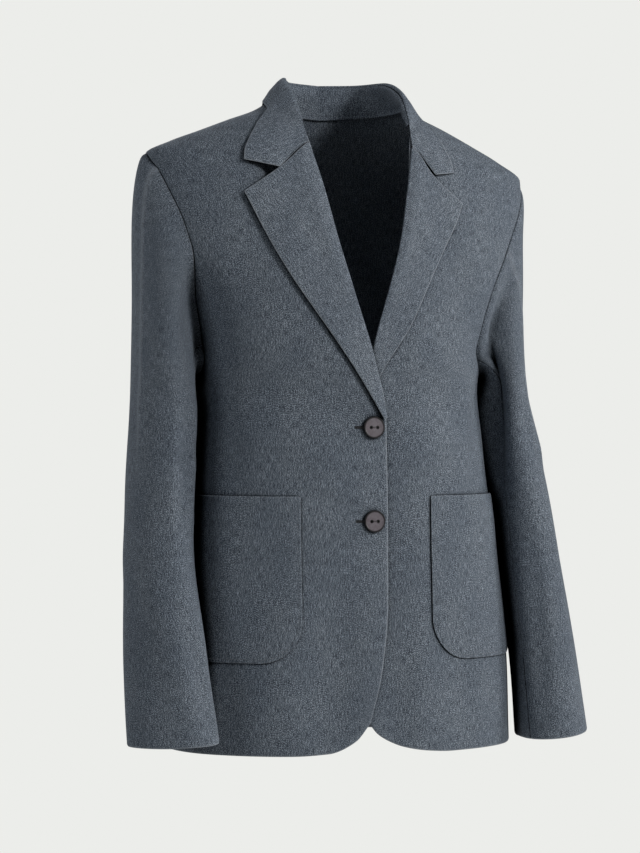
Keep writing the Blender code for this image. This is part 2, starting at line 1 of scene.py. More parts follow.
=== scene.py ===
# %% [markdown]
# # A tailored blazer, cut and sewn in code
#
# The real thing is a boxy two-button blazer in a blue-grey melange suiting. It is cut flat,
# in about a dozen pieces of cloth, and pressed and padded into a standing shape.
# The shape could come from a cloth simulation, but a structured jacket holds its form by
# fusing and padding, so every panel is built here straight on that form: a smooth body
# surface given by a few measured rings, with each seam drawn on it as a short table.

# %% The frame
import math

import bmesh
import bpy
import numpy as np
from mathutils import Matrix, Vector


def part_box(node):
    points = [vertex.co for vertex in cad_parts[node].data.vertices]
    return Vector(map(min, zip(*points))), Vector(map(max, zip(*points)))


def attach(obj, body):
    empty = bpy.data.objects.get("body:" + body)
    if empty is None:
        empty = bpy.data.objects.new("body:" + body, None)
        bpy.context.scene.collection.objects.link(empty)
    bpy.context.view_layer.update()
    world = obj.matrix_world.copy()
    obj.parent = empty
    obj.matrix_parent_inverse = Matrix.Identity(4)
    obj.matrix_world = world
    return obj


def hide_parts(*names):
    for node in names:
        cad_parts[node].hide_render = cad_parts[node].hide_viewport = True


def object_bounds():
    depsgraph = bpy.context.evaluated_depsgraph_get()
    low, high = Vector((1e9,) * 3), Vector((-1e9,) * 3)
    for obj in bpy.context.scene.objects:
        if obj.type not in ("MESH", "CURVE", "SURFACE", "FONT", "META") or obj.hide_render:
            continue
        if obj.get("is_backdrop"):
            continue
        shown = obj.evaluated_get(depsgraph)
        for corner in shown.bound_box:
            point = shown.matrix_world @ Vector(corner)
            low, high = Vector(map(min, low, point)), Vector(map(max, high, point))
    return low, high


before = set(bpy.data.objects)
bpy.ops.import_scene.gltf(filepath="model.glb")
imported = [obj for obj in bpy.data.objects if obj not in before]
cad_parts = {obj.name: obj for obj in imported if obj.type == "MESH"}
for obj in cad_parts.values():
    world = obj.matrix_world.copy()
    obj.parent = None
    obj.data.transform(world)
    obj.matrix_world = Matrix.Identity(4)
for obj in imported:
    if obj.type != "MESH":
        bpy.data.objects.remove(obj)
frame_low, frame_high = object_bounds()
for thing in bpy.context.selected_objects:
    thing.select_set(False)
bpy.context.scene.view_settings.view_transform = "Standard"
print("frame nodes:", len(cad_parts))

# %% [markdown]
# ## Measurements
#
# A tailor works from measurements, and so does this file. The body is a stack of rounded
# rings, and angle and height name any place on it: 0 degrees is the centre front, 90 the
# side seam and 180 the centre back. Both halves of the jacket share the tables, and the
# few things that differ have one table for each side.

# %% Measurements
# Metres and degrees throughout. Height 0 is 6 mm above the neck point
CLOTH = 0.0015
SEAM_GAP = 0.0003
RIGHT, LEFT = -1, 1

# Heights
HEM = -0.705
UNDERARM = -0.305
SHOULDER_TIP = -0.076
NECK_POINT = -0.0060

# The left shoulder hangs lower: slope of the yoke, fading out between two heights
YOKE_TILT = 0.042
TILT_WIDTH = 0.19
TILT_FROM = -0.35
TILT_FULL = -0.08
print("cloth", CLOTH * 1000, "mm, seams", SEAM_GAP * 1000, "mm apart")

# %% Rings of the body
# The body, ring by ring
# Columns: height, half width, depth to the front, depth to the back, squareness
RINGS = np.array([
    (-0.705, 0.193, 0.138, 0.124, 2.30),
    (-0.640, 0.192, 0.137, 0.122, 2.30),
    (-0.560, 0.185, 0.135, 0.118, 2.30),
    (-0.480, 0.173, 0.132, 0.112, 2.30),
    (-0.400, 0.161, 0.130, 0.107, 2.30),
    (-0.330, 0.154, 0.129, 0.107, 2.30),
    (-0.270, 0.166, 0.127, 0.112, 2.25),
    (-0.210, 0.190, 0.123, 0.117, 2.20),
    (-0.160, 0.206, 0.117, 0.116, 2.20),
    (-0.110, 0.2145, 0.106, 0.110, 2.20),
    (-0.090, 0.2140, 0.100, 0.104, 2.18),
    (-0.076, 0.2135, 0.095, 0.099, 2.15),
    (-0.060, 0.1885, 0.089, 0.091, 2.10),
    (-0.0455, 0.157, 0.083, 0.082, 2.10),
    (-0.0305, 0.124, 0.074, 0.072, 2.05),
    (-0.0168, 0.092, 0.063, 0.063, 2.00),
    (-0.0040, 0.074, 0.052, 0.056, 2.00),
    (0.008, 0.060, 0.044, 0.053, 2.00),
    (0.030, 0.048, 0.036, 0.047, 2.00),
])
print("body rings:", len(RINGS))

# %% [markdown]
# ## From measurements to places
#
# These functions turn the tables into points. Values between two rows of a table are
# eased, so no seam has a kink at a measured row, and no curve swings past its measurements.
# A body point is an angle, a height and a distance moved out from the body's face.

# %% Smooth tables
# Mean radius of the body, which turns a degree into a length along a curve
MEAN_RADIUS = 0.19


def smooth_value(table, key, column):
    """A table's column as a smooth function of its first column, with no overshoot."""
    keys, values = table[:, 0], table[:, column]
    rises = np.diff(values) / np.diff(keys)
    total = rises[:-1] + rises[1:]
    turning = rises[:-1] * rises[1:] <= 0
    inner = 2 * rises[:-1] * rises[1:] / np.where(turning, 1, total)
    slopes = np.concatenate([rises[:1], np.where(turning, 0, inner), rises[-1:]])
    key = np.clip(key, keys[0], keys[-1])
    row = np.clip(np.searchsorted(keys, key) - 1, 0, len(keys) - 2)
    span = keys[row + 1] - keys[row]
    t = (key - keys[row]) / span
    start = (2 * t**3 - 3 * t**2 + 1) * values[row] + (t**3 - 2 * t**2 + t) * span * slopes[row]
    end = (3 * t**2 - 2 * t**3) * values[row + 1] + (t**3 - t**2) * span * slopes[row + 1]
    return start + end


def smooth_step(value, low, high):
    t = np.clip((value - low) / (high - low), 0, 1)
    return t * t * (3 - 2 * t)


def along_curve(points, count):
    """A smooth curve through a few points, as count + 1 points at even steps of its length."""
    points = np.asarray(points, float)
    steps = np.linalg.norm(np.diff(points, axis=0) * curve_scale(points), axis=1)
    table = np.column_stack([np.concatenate([[0], np.cumsum(steps)]), points])
    place = np.linspace(0, table[-1, 0], count + 1)
    return np.column_stack([smooth_value(table, place, c + 1) for c in range(points.shape[1])])


def curve_scale(points):
    """Angles in degrees weigh as lengths on the body; distances in metres weigh as they are."""
    degrees = np.abs(points[:, 0]).max() > 1
    return np.array([math.radians(MEAN_RADIUS) if degrees else 1.0, 1.0])


print("half a step:", float(smooth_step(0.5, 0, 1)))

# %% The body's surface
def body_radius(angle, height):
    """Distance from the axis to the outer face of the body cloth. Angles in degrees."""
    half_width = smooth_value(RINGS, height, 1)
    depth = np.where(np.cos(np.radians(angle)) > 0,
                     smooth_value(RINGS, height, 2), smooth_value(RINGS, height, 3))
    power = smooth_value(RINGS, height, 4)
    across = np.abs(np.sin(np.radians(angle))) / half_width
    along = np.abs(np.cos(np.radians(angle))) / depth
    return (across**power + along**power) ** (-1 / power)


def tilted(points):
    """The yoke's tilt: the wearer's left side hangs lower."""
    weight = smooth_step(points[..., 2], TILT_FROM, TILT_FULL)
    reach = points[..., 0] * np.abs(points[..., 0]) / TILT_WIDTH
    points[..., 2] -= YOKE_TILT * reach * weight
    return points


def body_points(angle, height, inward=0.0):
    radius = body_radius(angle, height) - inward
    turn = np.radians(angle)
    return np.stack([radius * np.sin(turn), -radius * np.cos(turn), height + 0 * turn], axis=-1)


def angle_at(distance, height):
    """The angle where the body's front is this far from the centre line, by halving steps."""
    angle = np.degrees(np.arctan2(distance, smooth_value(RINGS, height, 2)))
    for _ in range(12):
        ratio = np.clip(distance / body_radius(angle, height), -0.999, 0.999)
        angle = 0.5 * (angle + np.degrees(np.arcsin(ratio)))
    return angle


def as_angles(curve):
    """A curve of distance and height on the front, as angle and height."""
    return np.column_stack([angle_at(curve[:, 0], curve[:, 1]), curve[:, 1]])


print("half width at the hem:", round(float(body_radius(90.0, HEM)), 4))

# %% Patches and normals
def patch(bottom, top, left, right):
    """The grid between four edges: bottom and top run from left to right, the others upwards."""
    u = np.linspace(0, 1, len(bottom))[None, :, None]
    v = np.linspace(0, 1, len(left))[:, None, None]
    across = (1 - u) * left[:, None] + u * right[:, None]
    upward = (1 - v) * bottom[None] + v * top[None]
    corners = ((1 - u) * (1 - v) * bottom[0] + u * (1 - v) * bottom[-1]
               + (1 - u) * v * top[0] + u * v * top[-1])
    return across + upward - corners


def unit(vectors):
    return vectors / np.linalg.norm(vectors, axis=-1, keepdims=True)


def grid_normals(points):
    """Unit normals of a grid whose rows run up and whose columns run to the wearer's left."""
    return unit(np.cross(np.gradient(points, axis=1), np.gradient(points, axis=0)))


def body_normals(angle, height):
    """Unit normals of the body's outer face."""
    step_angle, step_height = 0.5, 0.0005
    around = body_points(angle + step_angle, height) - body_points(angle - step_angle, height)
    upward = body_points(angle, height + step_height) - body_points(angle, height - step_height)
    return unit(np.cross(around, upward))


def clear_of_body(points, side, lift):
    """Points moved out along the body's normal until they lie at least lift above it."""
    points = points * (side, 1, 1)
    for _ in range(6):
        height = points[..., 2]
        angle = np.degrees(np.arctan2(points[..., 0], -points[..., 1]))
        normals = body_normals(angle, height)
        level = np.hypot(normals[..., 0], normals[..., 1])
        clear = (np.hypot(points[..., 0], points[..., 1]) - body_radius(angle, height)) * level
        points = points + normals * np.maximum(lift - clear, 0)[..., None]
    return points * (side, 1, 1)


facing = body_normals(np.array([90.0]), np.array([HEM]))[0]
print("the side faces", [round(float(v), 3) for v in facing])

# %% [markdown]
# ## Camera and light
#
# The camera stands 3 m away, a little to the wearer's right, level with the waist. A long
# lens at that distance keeps the shoulders and the hem in proportion. Two lamps on the
# wearer's left model the cloth, a weaker one fills the other side, and two behind edge the
# right sleeve and light the back. The pale room is seen at full strength but lights the
# cloth with under a tenth of it, so that the lapels and folds keep their shadows. The floor
# lies where the wearer would stand, and glows a little for the camera only, so that it
# stays as pale as the room.

# %% Camera
VIEW_TURN = math.radians(-18)
VIEW_DISTANCE = 3.0
VIEW_HEIGHT = -0.36
PIXEL = 0.0011
IMAGE_HEIGHT = 853
IMAGE_CENTRE = 320
BLAZER_CENTRE = 335.5


def new_object(name, data):
    thing = bpy.data.objects.new(name, data)
    bpy.context.collection.objects.link(thing)
    return thing


def make_camera():
    data = bpy.data.cameras.new("camera")
    camera = new_object("camera", data)
    camera.location = (VIEW_DISTANCE * math.sin(VIEW_TURN),
                       -VIEW_DISTANCE * math.cos(VIEW_TURN), VIEW_HEIGHT)
    camera.rotation_euler = (math.radians(90), 0, VIEW_TURN)
    data.sensor_fit = "VERTICAL"
    data.angle = 2 * math.atan(IMAGE_HEIGHT * PIXEL / 2 / VIEW_DISTANCE)
    data.shift_x = -(BLAZER_CENTRE - IMAGE_CENTRE) / IMAGE_HEIGHT
    bpy.context.scene.camera = camera


make_camera()
print("camera at", [round(c, 3) for c in bpy.context.scene.camera.location])

# %% Lamps
AIM = (0, 0, -0.35)
# Columns: name, place, size, watts, colour
LAMPS = (
    ("key_lamp", (1.5, -2.6, 0.9), (0.6, 0.8), 47, (1.0, 0.985, 0.97)),
    ("side_lamp", (2.8, -0.9, 0.5), (0.6, 0.9), 31, (1.0, 0.99, 0.98)),
    ("fill_lamp", (-2.7, -1.2, 0.9), (1.2, 1.4), 15, (0.96, 0.98, 1.0)),
    ("rim_lamp", (-2.6, 1.2, 0.6), (1.4, 1.4), 9, (1.0, 1.0, 1.0)),
    ("back_lamp", (-0.3, 3.0, 0.7), (1.6, 1.6), 14, (1.0, 1.0, 1.0)),
)


def make_lamp(name, place, size, power, colour):
    data = bpy.data.lights.new(name, "AREA")
    data.shape = "RECTANGLE"
    data.size, data.size_y = size
    data.energy = power
    data.color = colour
    lamp = new_object(name, data)
    lamp.location = place
    away = Vector(place) - Vector(AIM)
    lamp.rotation_euler = away.to_track_quat("Z", "Y").to_euler()


for lamp in LAMPS:
    make_lamp(*lamp)
print("lamps:", len(LAMPS))

# %% Colours and nodes
def linear(hex_colour):
    """An sRGB hex colour as linear red, green, blue and alpha."""
    parts = [int(hex_colour[i:i + 2], 16) / 255 for i in (1, 3, 5)]
    return (*[c / 12.92 if c <= 0.04045 else ((c + 0.055) / 1.055) ** 2.4 for c in parts], 1)


def add(tree, kind, settings=None, **links):
    """Adds a node. Settings go on the node or its sockets; links name sockets to feed."""
    node = tree.nodes.new(kind)
    for key, value in (settings or {}).items():
        if hasattr(node, key):
            setattr(node, key, value)
        else:
            node.inputs[key].default_value = value
    for key, source in links.items():
        tree.links.new(source, node.inputs[key.replace("_", " ")])
    return node


def math_node(tree, operation, first, second):
    node = add(tree, "ShaderNodeMath", {"operation": operation})
    for socket, value in zip(node.inputs, (first, second)):
        if isinstance(value, bpy.types.NodeSocket):
            tree.links.new(value, socket)
        else:
            socket.default_value = value
    return node.outputs[0]


def new_material(name, settings):
    """A material, its node tree and its shader, with the shader's plain sockets set."""
    material = bpy.data.materials.new(name)
    material.use_nodes = True
    shader = material.node_tree.nodes["Principled BSDF"]
    for socket, value in settings.items():
        shader.inputs[socket].default_value = value
    return material, material.node_tree, shader


print("mid grey is", round(linear("#808080")[0], 3), "in linear light")

# %% Room and floor
# How strongly the room lights the cloth, and how much the floor glows for the camera
FELT_ROOM = 0.08
FLOOR_GLOW = 0.40
FLOOR_LEVEL = -1.42
FLOOR_RADIUS = 2.9

room = bpy.data.worlds.new("pale_room")
room.use_nodes = True
tree = room.node_tree
seen = tree.nodes["Background"]
seen.inputs["Color"].default_value = linear("#ecedea")
felt = add(tree, "ShaderNodeBackground", {"Color": linear("#eef1f4"), "Strength": FELT_ROOM})
looked_at = add(tree, "ShaderNodeLightPath").outputs["Is Camera Ray"]
either = add(tree, "ShaderNodeMixShader", None, Fac=looked_at)
tree.links.new(felt.outputs["Background"], either.inputs[1])
tree.links.new(seen.outputs["Background"], either.inputs[2])
tree.links.new(either.outputs["Shader"], tree.nodes["World Output"].inputs["Surface"])
bpy.context.scene.world = room

bpy.ops.mesh.primitive_circle_add(vertices=96, radius=FLOOR_RADIUS, fill_type="NGON",
                                  location=(0, 0, FLOOR_LEVEL))
floor = bpy.context.active_object
floor.name = "floor"
plaster, tree, shader = new_material("pale_floor", {
    "Base Color": linear("#d8d8d5"), "Roughness": 0.8, "Emission Color": linear("#e6e6e3")})
looked_at = add(tree, "ShaderNodeLightPath").outputs["Is Camera Ray"]
tree.links.new(math_node(tree, "MULTIPLY", looked_at, FLOOR_GLOW),
               shader.inputs["Emission Strength"])
floor.data.materials.append(plaster)
floor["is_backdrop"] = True
print("floor at", FLOOR_LEVEL, "m")

# %% [markdown]
# ## The cloth
#
# A worsted melange twill: the yarn is spun from dark and light fibres, so the colour breaks
# into short streaks along the warp. A noise stretched along the grain gives the streaks, a
# finer one the single fibres, and a slow one the uneven dye. The cloth is soft and matt,
# with a little nap, which is what the sheen stands for. Fibre size would be 0.02 mm; the
# streaks are drawn 0.75 mm wide and 9 mm long and the fibres about 1 mm, so that they show
# at this distance. Every panel carries a UV map in metres along its own grain, so the
# pattern turns with it. A painted highlight pales the colour along edges and pressed lines.
# Dark cloth swallows light in narrow gaps, so an ambient occlusion node paints shade into
# the colour there, and sheen and gloss fade there too.

# %% Patterns
# Sizes in millimetres, across and along the grain
STREAK_MM = (0.75, 9.0)
FIBRE_MM = (0.8, 1.05)
CLOUD_MM = (45, 72)


def noise(tree, grain, size_mm, detail, rough):
    """Noise on the grain, each cell size_mm across and along."""
    scaled = add(tree, "ShaderNodeMapping",
                 {"Scale": (1000 / size_mm[0], 1000 / size_mm[1], 1)}, Vector=grain)
    return add(tree, "ShaderNodeTexNoise",
               {"noise_dimensions": "2D", "Scale": 1.0, "Detail": detail, "Roughness": rough},
               Vector=scaled.outputs["Vector"]).outputs["Fac"]


def mix(tree, kind, amount, low, high):
    """One colour over another. Plain colours and outputs are both taken."""
    node = add(tree, "ShaderNodeMix", {"data_type": "RGBA", "blend_type": kind})
    for socket, value in ((node.inputs[0], amount), (node.inputs[6], low), (node.inputs[7], high)):
        if isinstance(value, bpy.types.NodeSocket):
            tree.links.new(value, socket)
        else:
            socket.default_value = value
    return node.outputs[2]


def ramp(tree, value, stops):
    node = add(tree, "ShaderNodeValToRGB", None, Fac=value)
    for place, colour in stops[2:]:
        node.color_ramp.elements.new(place)
    for element, (place, colour) in zip(node.color_ramp.elements, sorted(stops)):
        element.position, element.color = place, linear(colour)
    return node.outputs["Color"]


print("streaks", STREAK_MM, "mm, fibres", FIBRE_MM, "mm")

# %% The suiting
# Half the spacing of the twill's ribs: at this scale the wave repeats about every two units
TWILL_MM = 0.9
WAVE_SCALE = 0.159
TWILL_TURN = math.radians(35)
# Share of the streaks in the pattern, where the fibres have the rest, and of the ribs
STREAK_SHARE = 0.29
TWILL_SHARE = 0.25
# Strength of the painted highlight on edges and how dark a seam turns, then the depth of a
# gap that gets painted shade
EDGE_HIGHLIGHT = 0.42
SEAM_DARK = 0.2
CREVICE = 0.016
SHEEN = 0.22
GLOSS = 0.25


def make_suiting(name, dark, body, light):
    material, tree, shader = new_material(name, {
        "Roughness": 0.86, "Sheen Roughness": 0.45, "Sheen Tint": linear("#c9d3e0")})
    grain = add(tree, "ShaderNodeUVMap", {"uv_map": "grain"}).outputs["UV"]
    streak = noise(tree, grain, STREAK_MM, 1.0, 0.5)
    fibre = noise(tree, grain, FIBRE_MM, 1.0, 0.6)
    cloud = noise(tree, grain, CLOUD_MM, 2.0, 0.5)
    both = math_node(tree, "ADD", math_node(tree, "MULTIPLY", streak, STREAK_SHARE),
                     math_node(tree, "MULTIPLY", fibre, 1 - STREAK_SHARE))
    tone = ramp(tree, both, [(0.335, dark), (0.665, light), (0.49, body), (0.51, body)])
    uneven = ramp(tree, cloud, [(0.35, "#eceef1"), (0.68, "#ffffff")])
    colour = mix(tree, "MULTIPLY", 1.0, tone, uneven)
    # Painted highlight: the "edge" attribute pales the colour towards a light grey
    edge = add(tree, "ShaderNodeAttribute", {"attribute_name": "edge"}).outputs["Fac"]
    colour = mix(tree, "MIX", math_node(tree, "MULTIPLY", edge, EDGE_HIGHLIGHT), colour,
                 linear("#a9b0b8"))
    seam = add(tree, "ShaderNodeAttribute", {"attribute_name": "seam"}).outputs["Fac"]
    colour = mix(tree, "MULTIPLY", math_node(tree, "MULTIPLY", seam, SEAM_DARK), colour,
                 linear("#4a4e55"))
    # Painted shade: ambient occlusion darkens the colour to near black in narrow gaps
    shade = add(tree, "ShaderNodeAmbientOcclusion", {"Distance": CREVICE, "samples": 8})
    shade = ramp(tree, shade.outputs["AO"], [(0.42, "#0c0d10"), (0.90, "#ffffff")])
    colour = mix(tree, "MULTIPLY", 1.0, colour, shade)
    tree.links.new(colour, shader.inputs["Base Color"])
    turned = add(tree, "ShaderNodeMapping",
                 {"Rotation": (0, 0, TWILL_TURN), "Scale": (1000 / TWILL_MM, 1, 1)},
                 Vector=grain)
    twill = add(tree, "ShaderNodeTexWave", {"wave_type": "BANDS", "bands_direction": "X",
                                            "Scale": WAVE_SCALE},
                Vector=turned.outputs["Vector"]).outputs["Fac"]
    height = math_node(tree, "ADD", both, math_node(tree, "MULTIPLY", twill, TWILL_SHARE))
    bump = add(tree, "ShaderNodeBump", {"Strength": 0.32, "Distance": 0.0004}, Height=height)
    tree.links.new(bump.outputs["Normal"], shader.inputs["Normal"])
    tree.links.new(math_node(tree, "MULTIPLY", shade, SHEEN), shader.inputs["Sheen Weight"])
    tree.links.new(math_node(tree, "MULTIPLY", shade, GLOSS),
                   shader.inputs["Specular IOR Level"])
    return material


suiting = make_suiting("melange_suiting", "#20262f", "#5a636e", "#b0bbc6")
# The facing is the same suiting painted a little lighter, standing in for the light on the lapels
# and collar fall
facing_cloth_painted_lighter = make_suiting("melange_facing_painted_lighter", "#222831", "#5e6772", "#b7c2cd")
print("cloth:", suiting.name, "and", facing_cloth_painted_lighter.name)

# %% [markdown]
# ## From a grid to a piece of cloth
#
# Each piece starts as a grid of points on its outer face. A wall is added behind it, and a
# rim closes the two. Solidify could do that, but a turned and pressed edge is rounder and a
# little proud, so the rim is made by hand: one line of points close to each edge keeps the
# curve of the pressing narrow, the edge itself drops, and a free edge bulges.
# Two attributes are painted on the way: "edge", a painted highlight where pressed edges
# would catch the light, and "seam", where the cloth turns under.

# %% Edges of a grid
# Distance of the extra line of points from an edge
EDGE_LINE = 0.0013


def with_edge_lines(layers):
    """Adds a line of points beside each edge to every layer of a grid."""
    for axis in (0, 1):
        points = np.moveaxis(layers[0], axis, 0)
        spans = [np.linalg.norm(points[i] - points[j], axis=-1).mean()
                 for i, j in ((0, 1), (-1, -2))]
        near, far = [min(EDGE_LINE / span, 0.5) for span in spans]
        grown = []
        for layer in layers:
            rows = np.moveaxis(layer, axis, 0)
            first = rows[0] + (rows[1] - rows[0]) * near
            last = rows[-1] + (rows[-2] - rows[-1]) * far
            rows = np.concatenate([rows[:1], first[None], rows[1:-1], last[None], rows[-1:]])
            grown.append(np.moveaxis(rows, 0, axis))
        layers = grown
    return layers


def rim_order(rows, columns):
    """Row and column of every point on the border, once round."""
    return np.array([(0, c) for c in range(columns)]
                    + [(r, columns - 1) for r in range(1, rows)]
                    + [(rows - 1, c) for c in range(columns - 2, -1, -1)]
                    + [(r, 0) for r in range(rows - 2, 0, -1)])


def on_sides(rim, rows, columns, sides):
    """Which border points lie on the named sides: bottom, right, top or left."""
    row, column = rim[:, 0], rim[:, 1]
    tests = {"bottom": row == 0, "top": row == rows - 1,
             "left": column == 0, "right": column == columns - 1}
    return np.any([tests[side] for side in sides], axis=0) | np.zeros(len(rim), bool)


print("a 3 x 4 grid has", len(rim_order(3, 4)), "points on its border")

# %% Cloth shell
# How far a free edge and a seam drop, the inner face's share of it, and a free edge's bulge
EDGE_DROP = 0.0005
SEAM_DROP = 0.0002
INNER_DROP = 0.4
EDGE_BULGE = 0.0005


def cloth_shell(name, node, outer, normals, grain, free, slot="suiting", wall=CLOTH,
                shine=1.0, glow=None):
    """A closed piece of cloth. free names its unsewn sides: bottom, right, top, left."""
    glow = np.zeros(outer.shape[:2]) if glow is None else glow
    outer, normals, grain, glow = with_edge_lines([outer, normals, grain, glow[..., None]])
    rows, columns = outer.shape[:2]
    count = rows * columns
    rim = rim_order(rows, columns)
    free_rim = on_sides(rim, rows, columns, free)
    inner = outer - normals * wall
    edge = outer[rim[:, 0], rim[:, 1]]
    inside = outer[np.clip(rim[:, 0], 1, rows - 2), np.clip(rim[:, 1], 1, columns - 2)]
    up = normals[rim[:, 0], rim[:, 1]]
    away = edge - inside
    away = unit(away - up * np.sum(away * up, axis=1, keepdims=True))
    bulge = np.where(free_rim, EDGE_BULGE, 0.0)[:, None]
    lip = edge - up * wall * 0.5 + away * bulge
    outer = outer.copy()
    drop = up * np.where(free_rim, EDGE_DROP, SEAM_DROP)[:, None]
    outer[rim[:, 0], rim[:, 1]] -= drop
    inner[rim[:, 0], rim[:, 1]] += drop * INNER_DROP
    points = np.concatenate([outer.reshape(-1, 3), inner.reshape(-1, 3), lip])
    index = np.arange(count).reshape(rows, columns)
    quads = np.stack([index[:-1, :-1], index[:-1, 1:], index[1:, 1:], index[1:, :-1]],
                     axis=-1).reshape(-1, 4)
    border = index[rim[:, 0], rim[:, 1]]
    following = np.roll(border, -1)
    mid = 2 * count + np.arange(len(rim))
    mid_next = np.roll(mid, -1)
    faces = np.concatenate([
        quads, quads[:, ::-1] + count,
        np.stack([following, border, mid, mid_next], axis=1),
        np.stack([mid_next, mid, border + count, following + count], axis=1)])
    sample = quads[len(quads) // 2]
    facing = np.cross(points[sample[1]] - points[sample[0]], points[sample[3]] - points[sample[0]])
    if facing @ normals.reshape(-1, 3)[sample[0]] < 0:
        faces = faces[:, ::-1]
    mesh = bpy.data.meshes.new(name)
    mesh.from_pydata(points.tolist(), [], faces.tolist())
    places = np.concatenate([grain.reshape(-1, 2), grain.reshape(-1, 2),
                             grain[rim[:, 0], rim[:, 1]]])
    corners = np.empty(len(mesh.loops), int)
    mesh.loops.foreach_get("vertex_index", corners)
    layer = mesh.uv_layers.new(name="grain")
    layer.data.foreach_set("uv", places[corners].ravel())
    # "edge" carries the painted highlight: shine on free edges, and the glow where it is given
    for word, mask, value in (("edge", free_rim, shine), ("seam", ~free_rim, 1.0)):
        values = np.zeros(len(points))
        values[:count] = glow.ravel() * (word == "edge")
        values[border[mask]] = np.maximum(values[border[mask]], value)
        values[border[mask] + count] = value
        values[2 * count:][mask] = value
        mesh.attributes.new(word, "FLOAT", "POINT").data.foreach_set("value", values)
    mesh.shade_smooth()
    mesh.materials.append(facing_cloth_painted_lighter if slot == "suiting_facing" else suiting)
    piece = new_object(name, mesh)
    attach(piece, "root")
    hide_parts(node)
    across = np.linalg.norm(np.diff(outer, axis=1), axis=-1)
    along = np.linalg.norm(np.diff(outer, axis=0), axis=-1)
    area = float((0.5 * (across[1:] + across[:-1]) * 0.5 * (along[:, 1:] + along[:, :-1])).sum())
    print(f"{name}: {len(faces) * 2} triangles, {area:.4f} square metres")
    return piece


# %% [markdown]
# ## Folds
#
# A fold is a soft trough or ridge along a slightly bowed line. It fades in and out along
# its length, and cloth pushed out of a trough rises a little on both sides of it. All the
# folds are listed in tables, in metres on the flat panel: from, to, bow, half width and
# height, where a negative height is a trough. A slow ripple of half a millimetre keeps the
# spaces between them from looking moulded.

# %% Folds
# Radius that turns an angle into metres across, and the ripple's height
ROUND = 0.17
RIPPLE = 0.0004
# The rise beside a trough: its place in half widths, and its height beside the trough's
SHOULDER_PLACE = 1.7
SHOULDER_RISE = 0.35
# Shares of a fold's length over which it fades in and out
FADE_IN = (-0.15, 0.3)
FADE_OUT = (0.7, 1.15)


def fold_height(folds, across, along):
    """Height of the cloth over its smooth form at places across and along a panel."""
    total = RIPPLE * (np.sin(31 * across + 9 * along + 1) * np.sin(13 * along - 17 * across + 2)
                      + np.sin(47 * along + 23 * across) * np.sin(19 * across + 5))
    for x0, z0, x1, z1, bow, half_width, height in folds:
        run = np.array([x1 - x0, z1 - z0])
        length = np.hypot(*run)
        t = ((across - x0) * run[0] + (along - z0) * run[1]) / length**2
        off = ((across - x0) * run[1] - (along - z0) * run[0]) / length
        off = off - bow * 4 * t * (1 - t)
        fade = smooth_step(t, *FADE_IN) * (1 - smooth_step(t, *FADE_OUT))
        middle = np.exp(-(off / half_width) ** 2)
        shoulders = np.exp(-((np.abs(off) - SHOULDER_PLACE * half_width) / half_width) ** 2)
        total = total + height * fade * (middle - SHOULDER_RISE * shoulders)
    return total


print("fold width is measured on a body", ROUND, "m in radius")

# %% [markdown]
# ## Fronts and back
#
# The two fronts are not mirror images: the right one laps over the left, so the left one
# passes under it along the closure, and their hem corners are cut away by different
# amounts. Their rows are level from hem to shoulder, which keeps every seam row facing its
# partner on the back. Near a seam the folds die out, because the seam holds the cloth.
# Behind each sleeve the lower armhole is tucked in, so that the arm has room to hang.

# %% Edges, armholes and neck
# Roll line of the lapel
# Columns: height, distance from the centre front on its own side
ROLL_LINE = np.array([
    (-0.350, -0.0145),
    (-0.280, 0.0015),
    (-0.220, 0.0195),
    (-0.160, 0.0365),
    (-0.100, 0.0495),
    (-0.050, 0.0585),
])

# Front edge below the break and its cutaway, down to the corner, then along the hem
# Columns: distance from the centre front on its own side, height
FRONT_EDGE = {
    RIGHT: np.array([
        (-0.0145, -0.350),
        (-0.0155, -0.460),
        (-0.0140, -0.550),
        (-0.0070, -0.620),
        (0.0060, -0.672),
    ]),
    LEFT: np.array([
        (-0.0145, -0.350),
        (-0.0155, -0.460),
        (-0.0155, -0.560),
        (-0.0135, -0.630),
        (-0.0055, -0.673),
    ]),
}
HEM_CORNER = {
    RIGHT: np.array([
        (0.0060, -0.672),
        (0.0220, -0.691),
        (0.0500, -0.703),
        (0.0900, -0.705),
    ]),
    LEFT: np.array([
        (-0.0055, -0.673),
        (0.0040, -0.684),
        (0.0185, -0.6925),
        (0.0345, -0.6985),
        (0.0600, -0.703),
        (0.0900, -0.705),
    ]),
}

# Armhole, from the underarm up
# Columns: angle from the centre front (90 is the side), height
ARMHOLE_FRONT = {
    RIGHT: np.array([
        (90, -0.305),
        (84, -0.301),
        (76, -0.284),
        (73, -0.252),
        (71.5, -0.216),
        (71, -0.182),
        (73, -0.150),
        (77, -0.120),
        (82, -0.096),
        (90, -0.076),
    ]),
    LEFT: np.array([
        (90, -0.305),
        (76, -0.299),
        (65, -0.278),
        (61, -0.248),
        (63, -0.214),
        (67, -0.180),
        (71, -0.150),
        (76, -0.120),
        (82, -0.096),
        (90, -0.076),
    ]),
}
ARMHOLE_BACK = np.array([
    (90, -0.305),
    (101, -0.300),
    (110, -0.280),
    (114, -0.245),
    (113, -0.200),
    (108, -0.152),
    (101, -0.112),
    (90, -0.076),
])
# Columns: share of the way from the centre back to the gorge, angle, height
NECK_SEAM = np.array([
    (0.00, 180.0, -0.0120),
    (0.25, 140.0, -0.0095),
    (0.50, 90.0, -0.0060),
    (0.70, 62.0, -0.0140),
    (0.85, 47.0, -0.0320),
    (1.00, 36.0, -0.0540),
])
print("armhole points:", len(ARMHOLE_BACK))

# %% Rows, tucks and lap
# Numbers of rows up each part of a side boundary, and of columns across each panel
SIDE_ROWS = 66
ARMHOLE_ROWS = 45
SHOULDER_ROWS = 24
CUTAWAY_ROWS = 22
NECK_DIP_ROWS = 16
FRONT_COLUMNS = 60
BACK_COLUMNS = 96

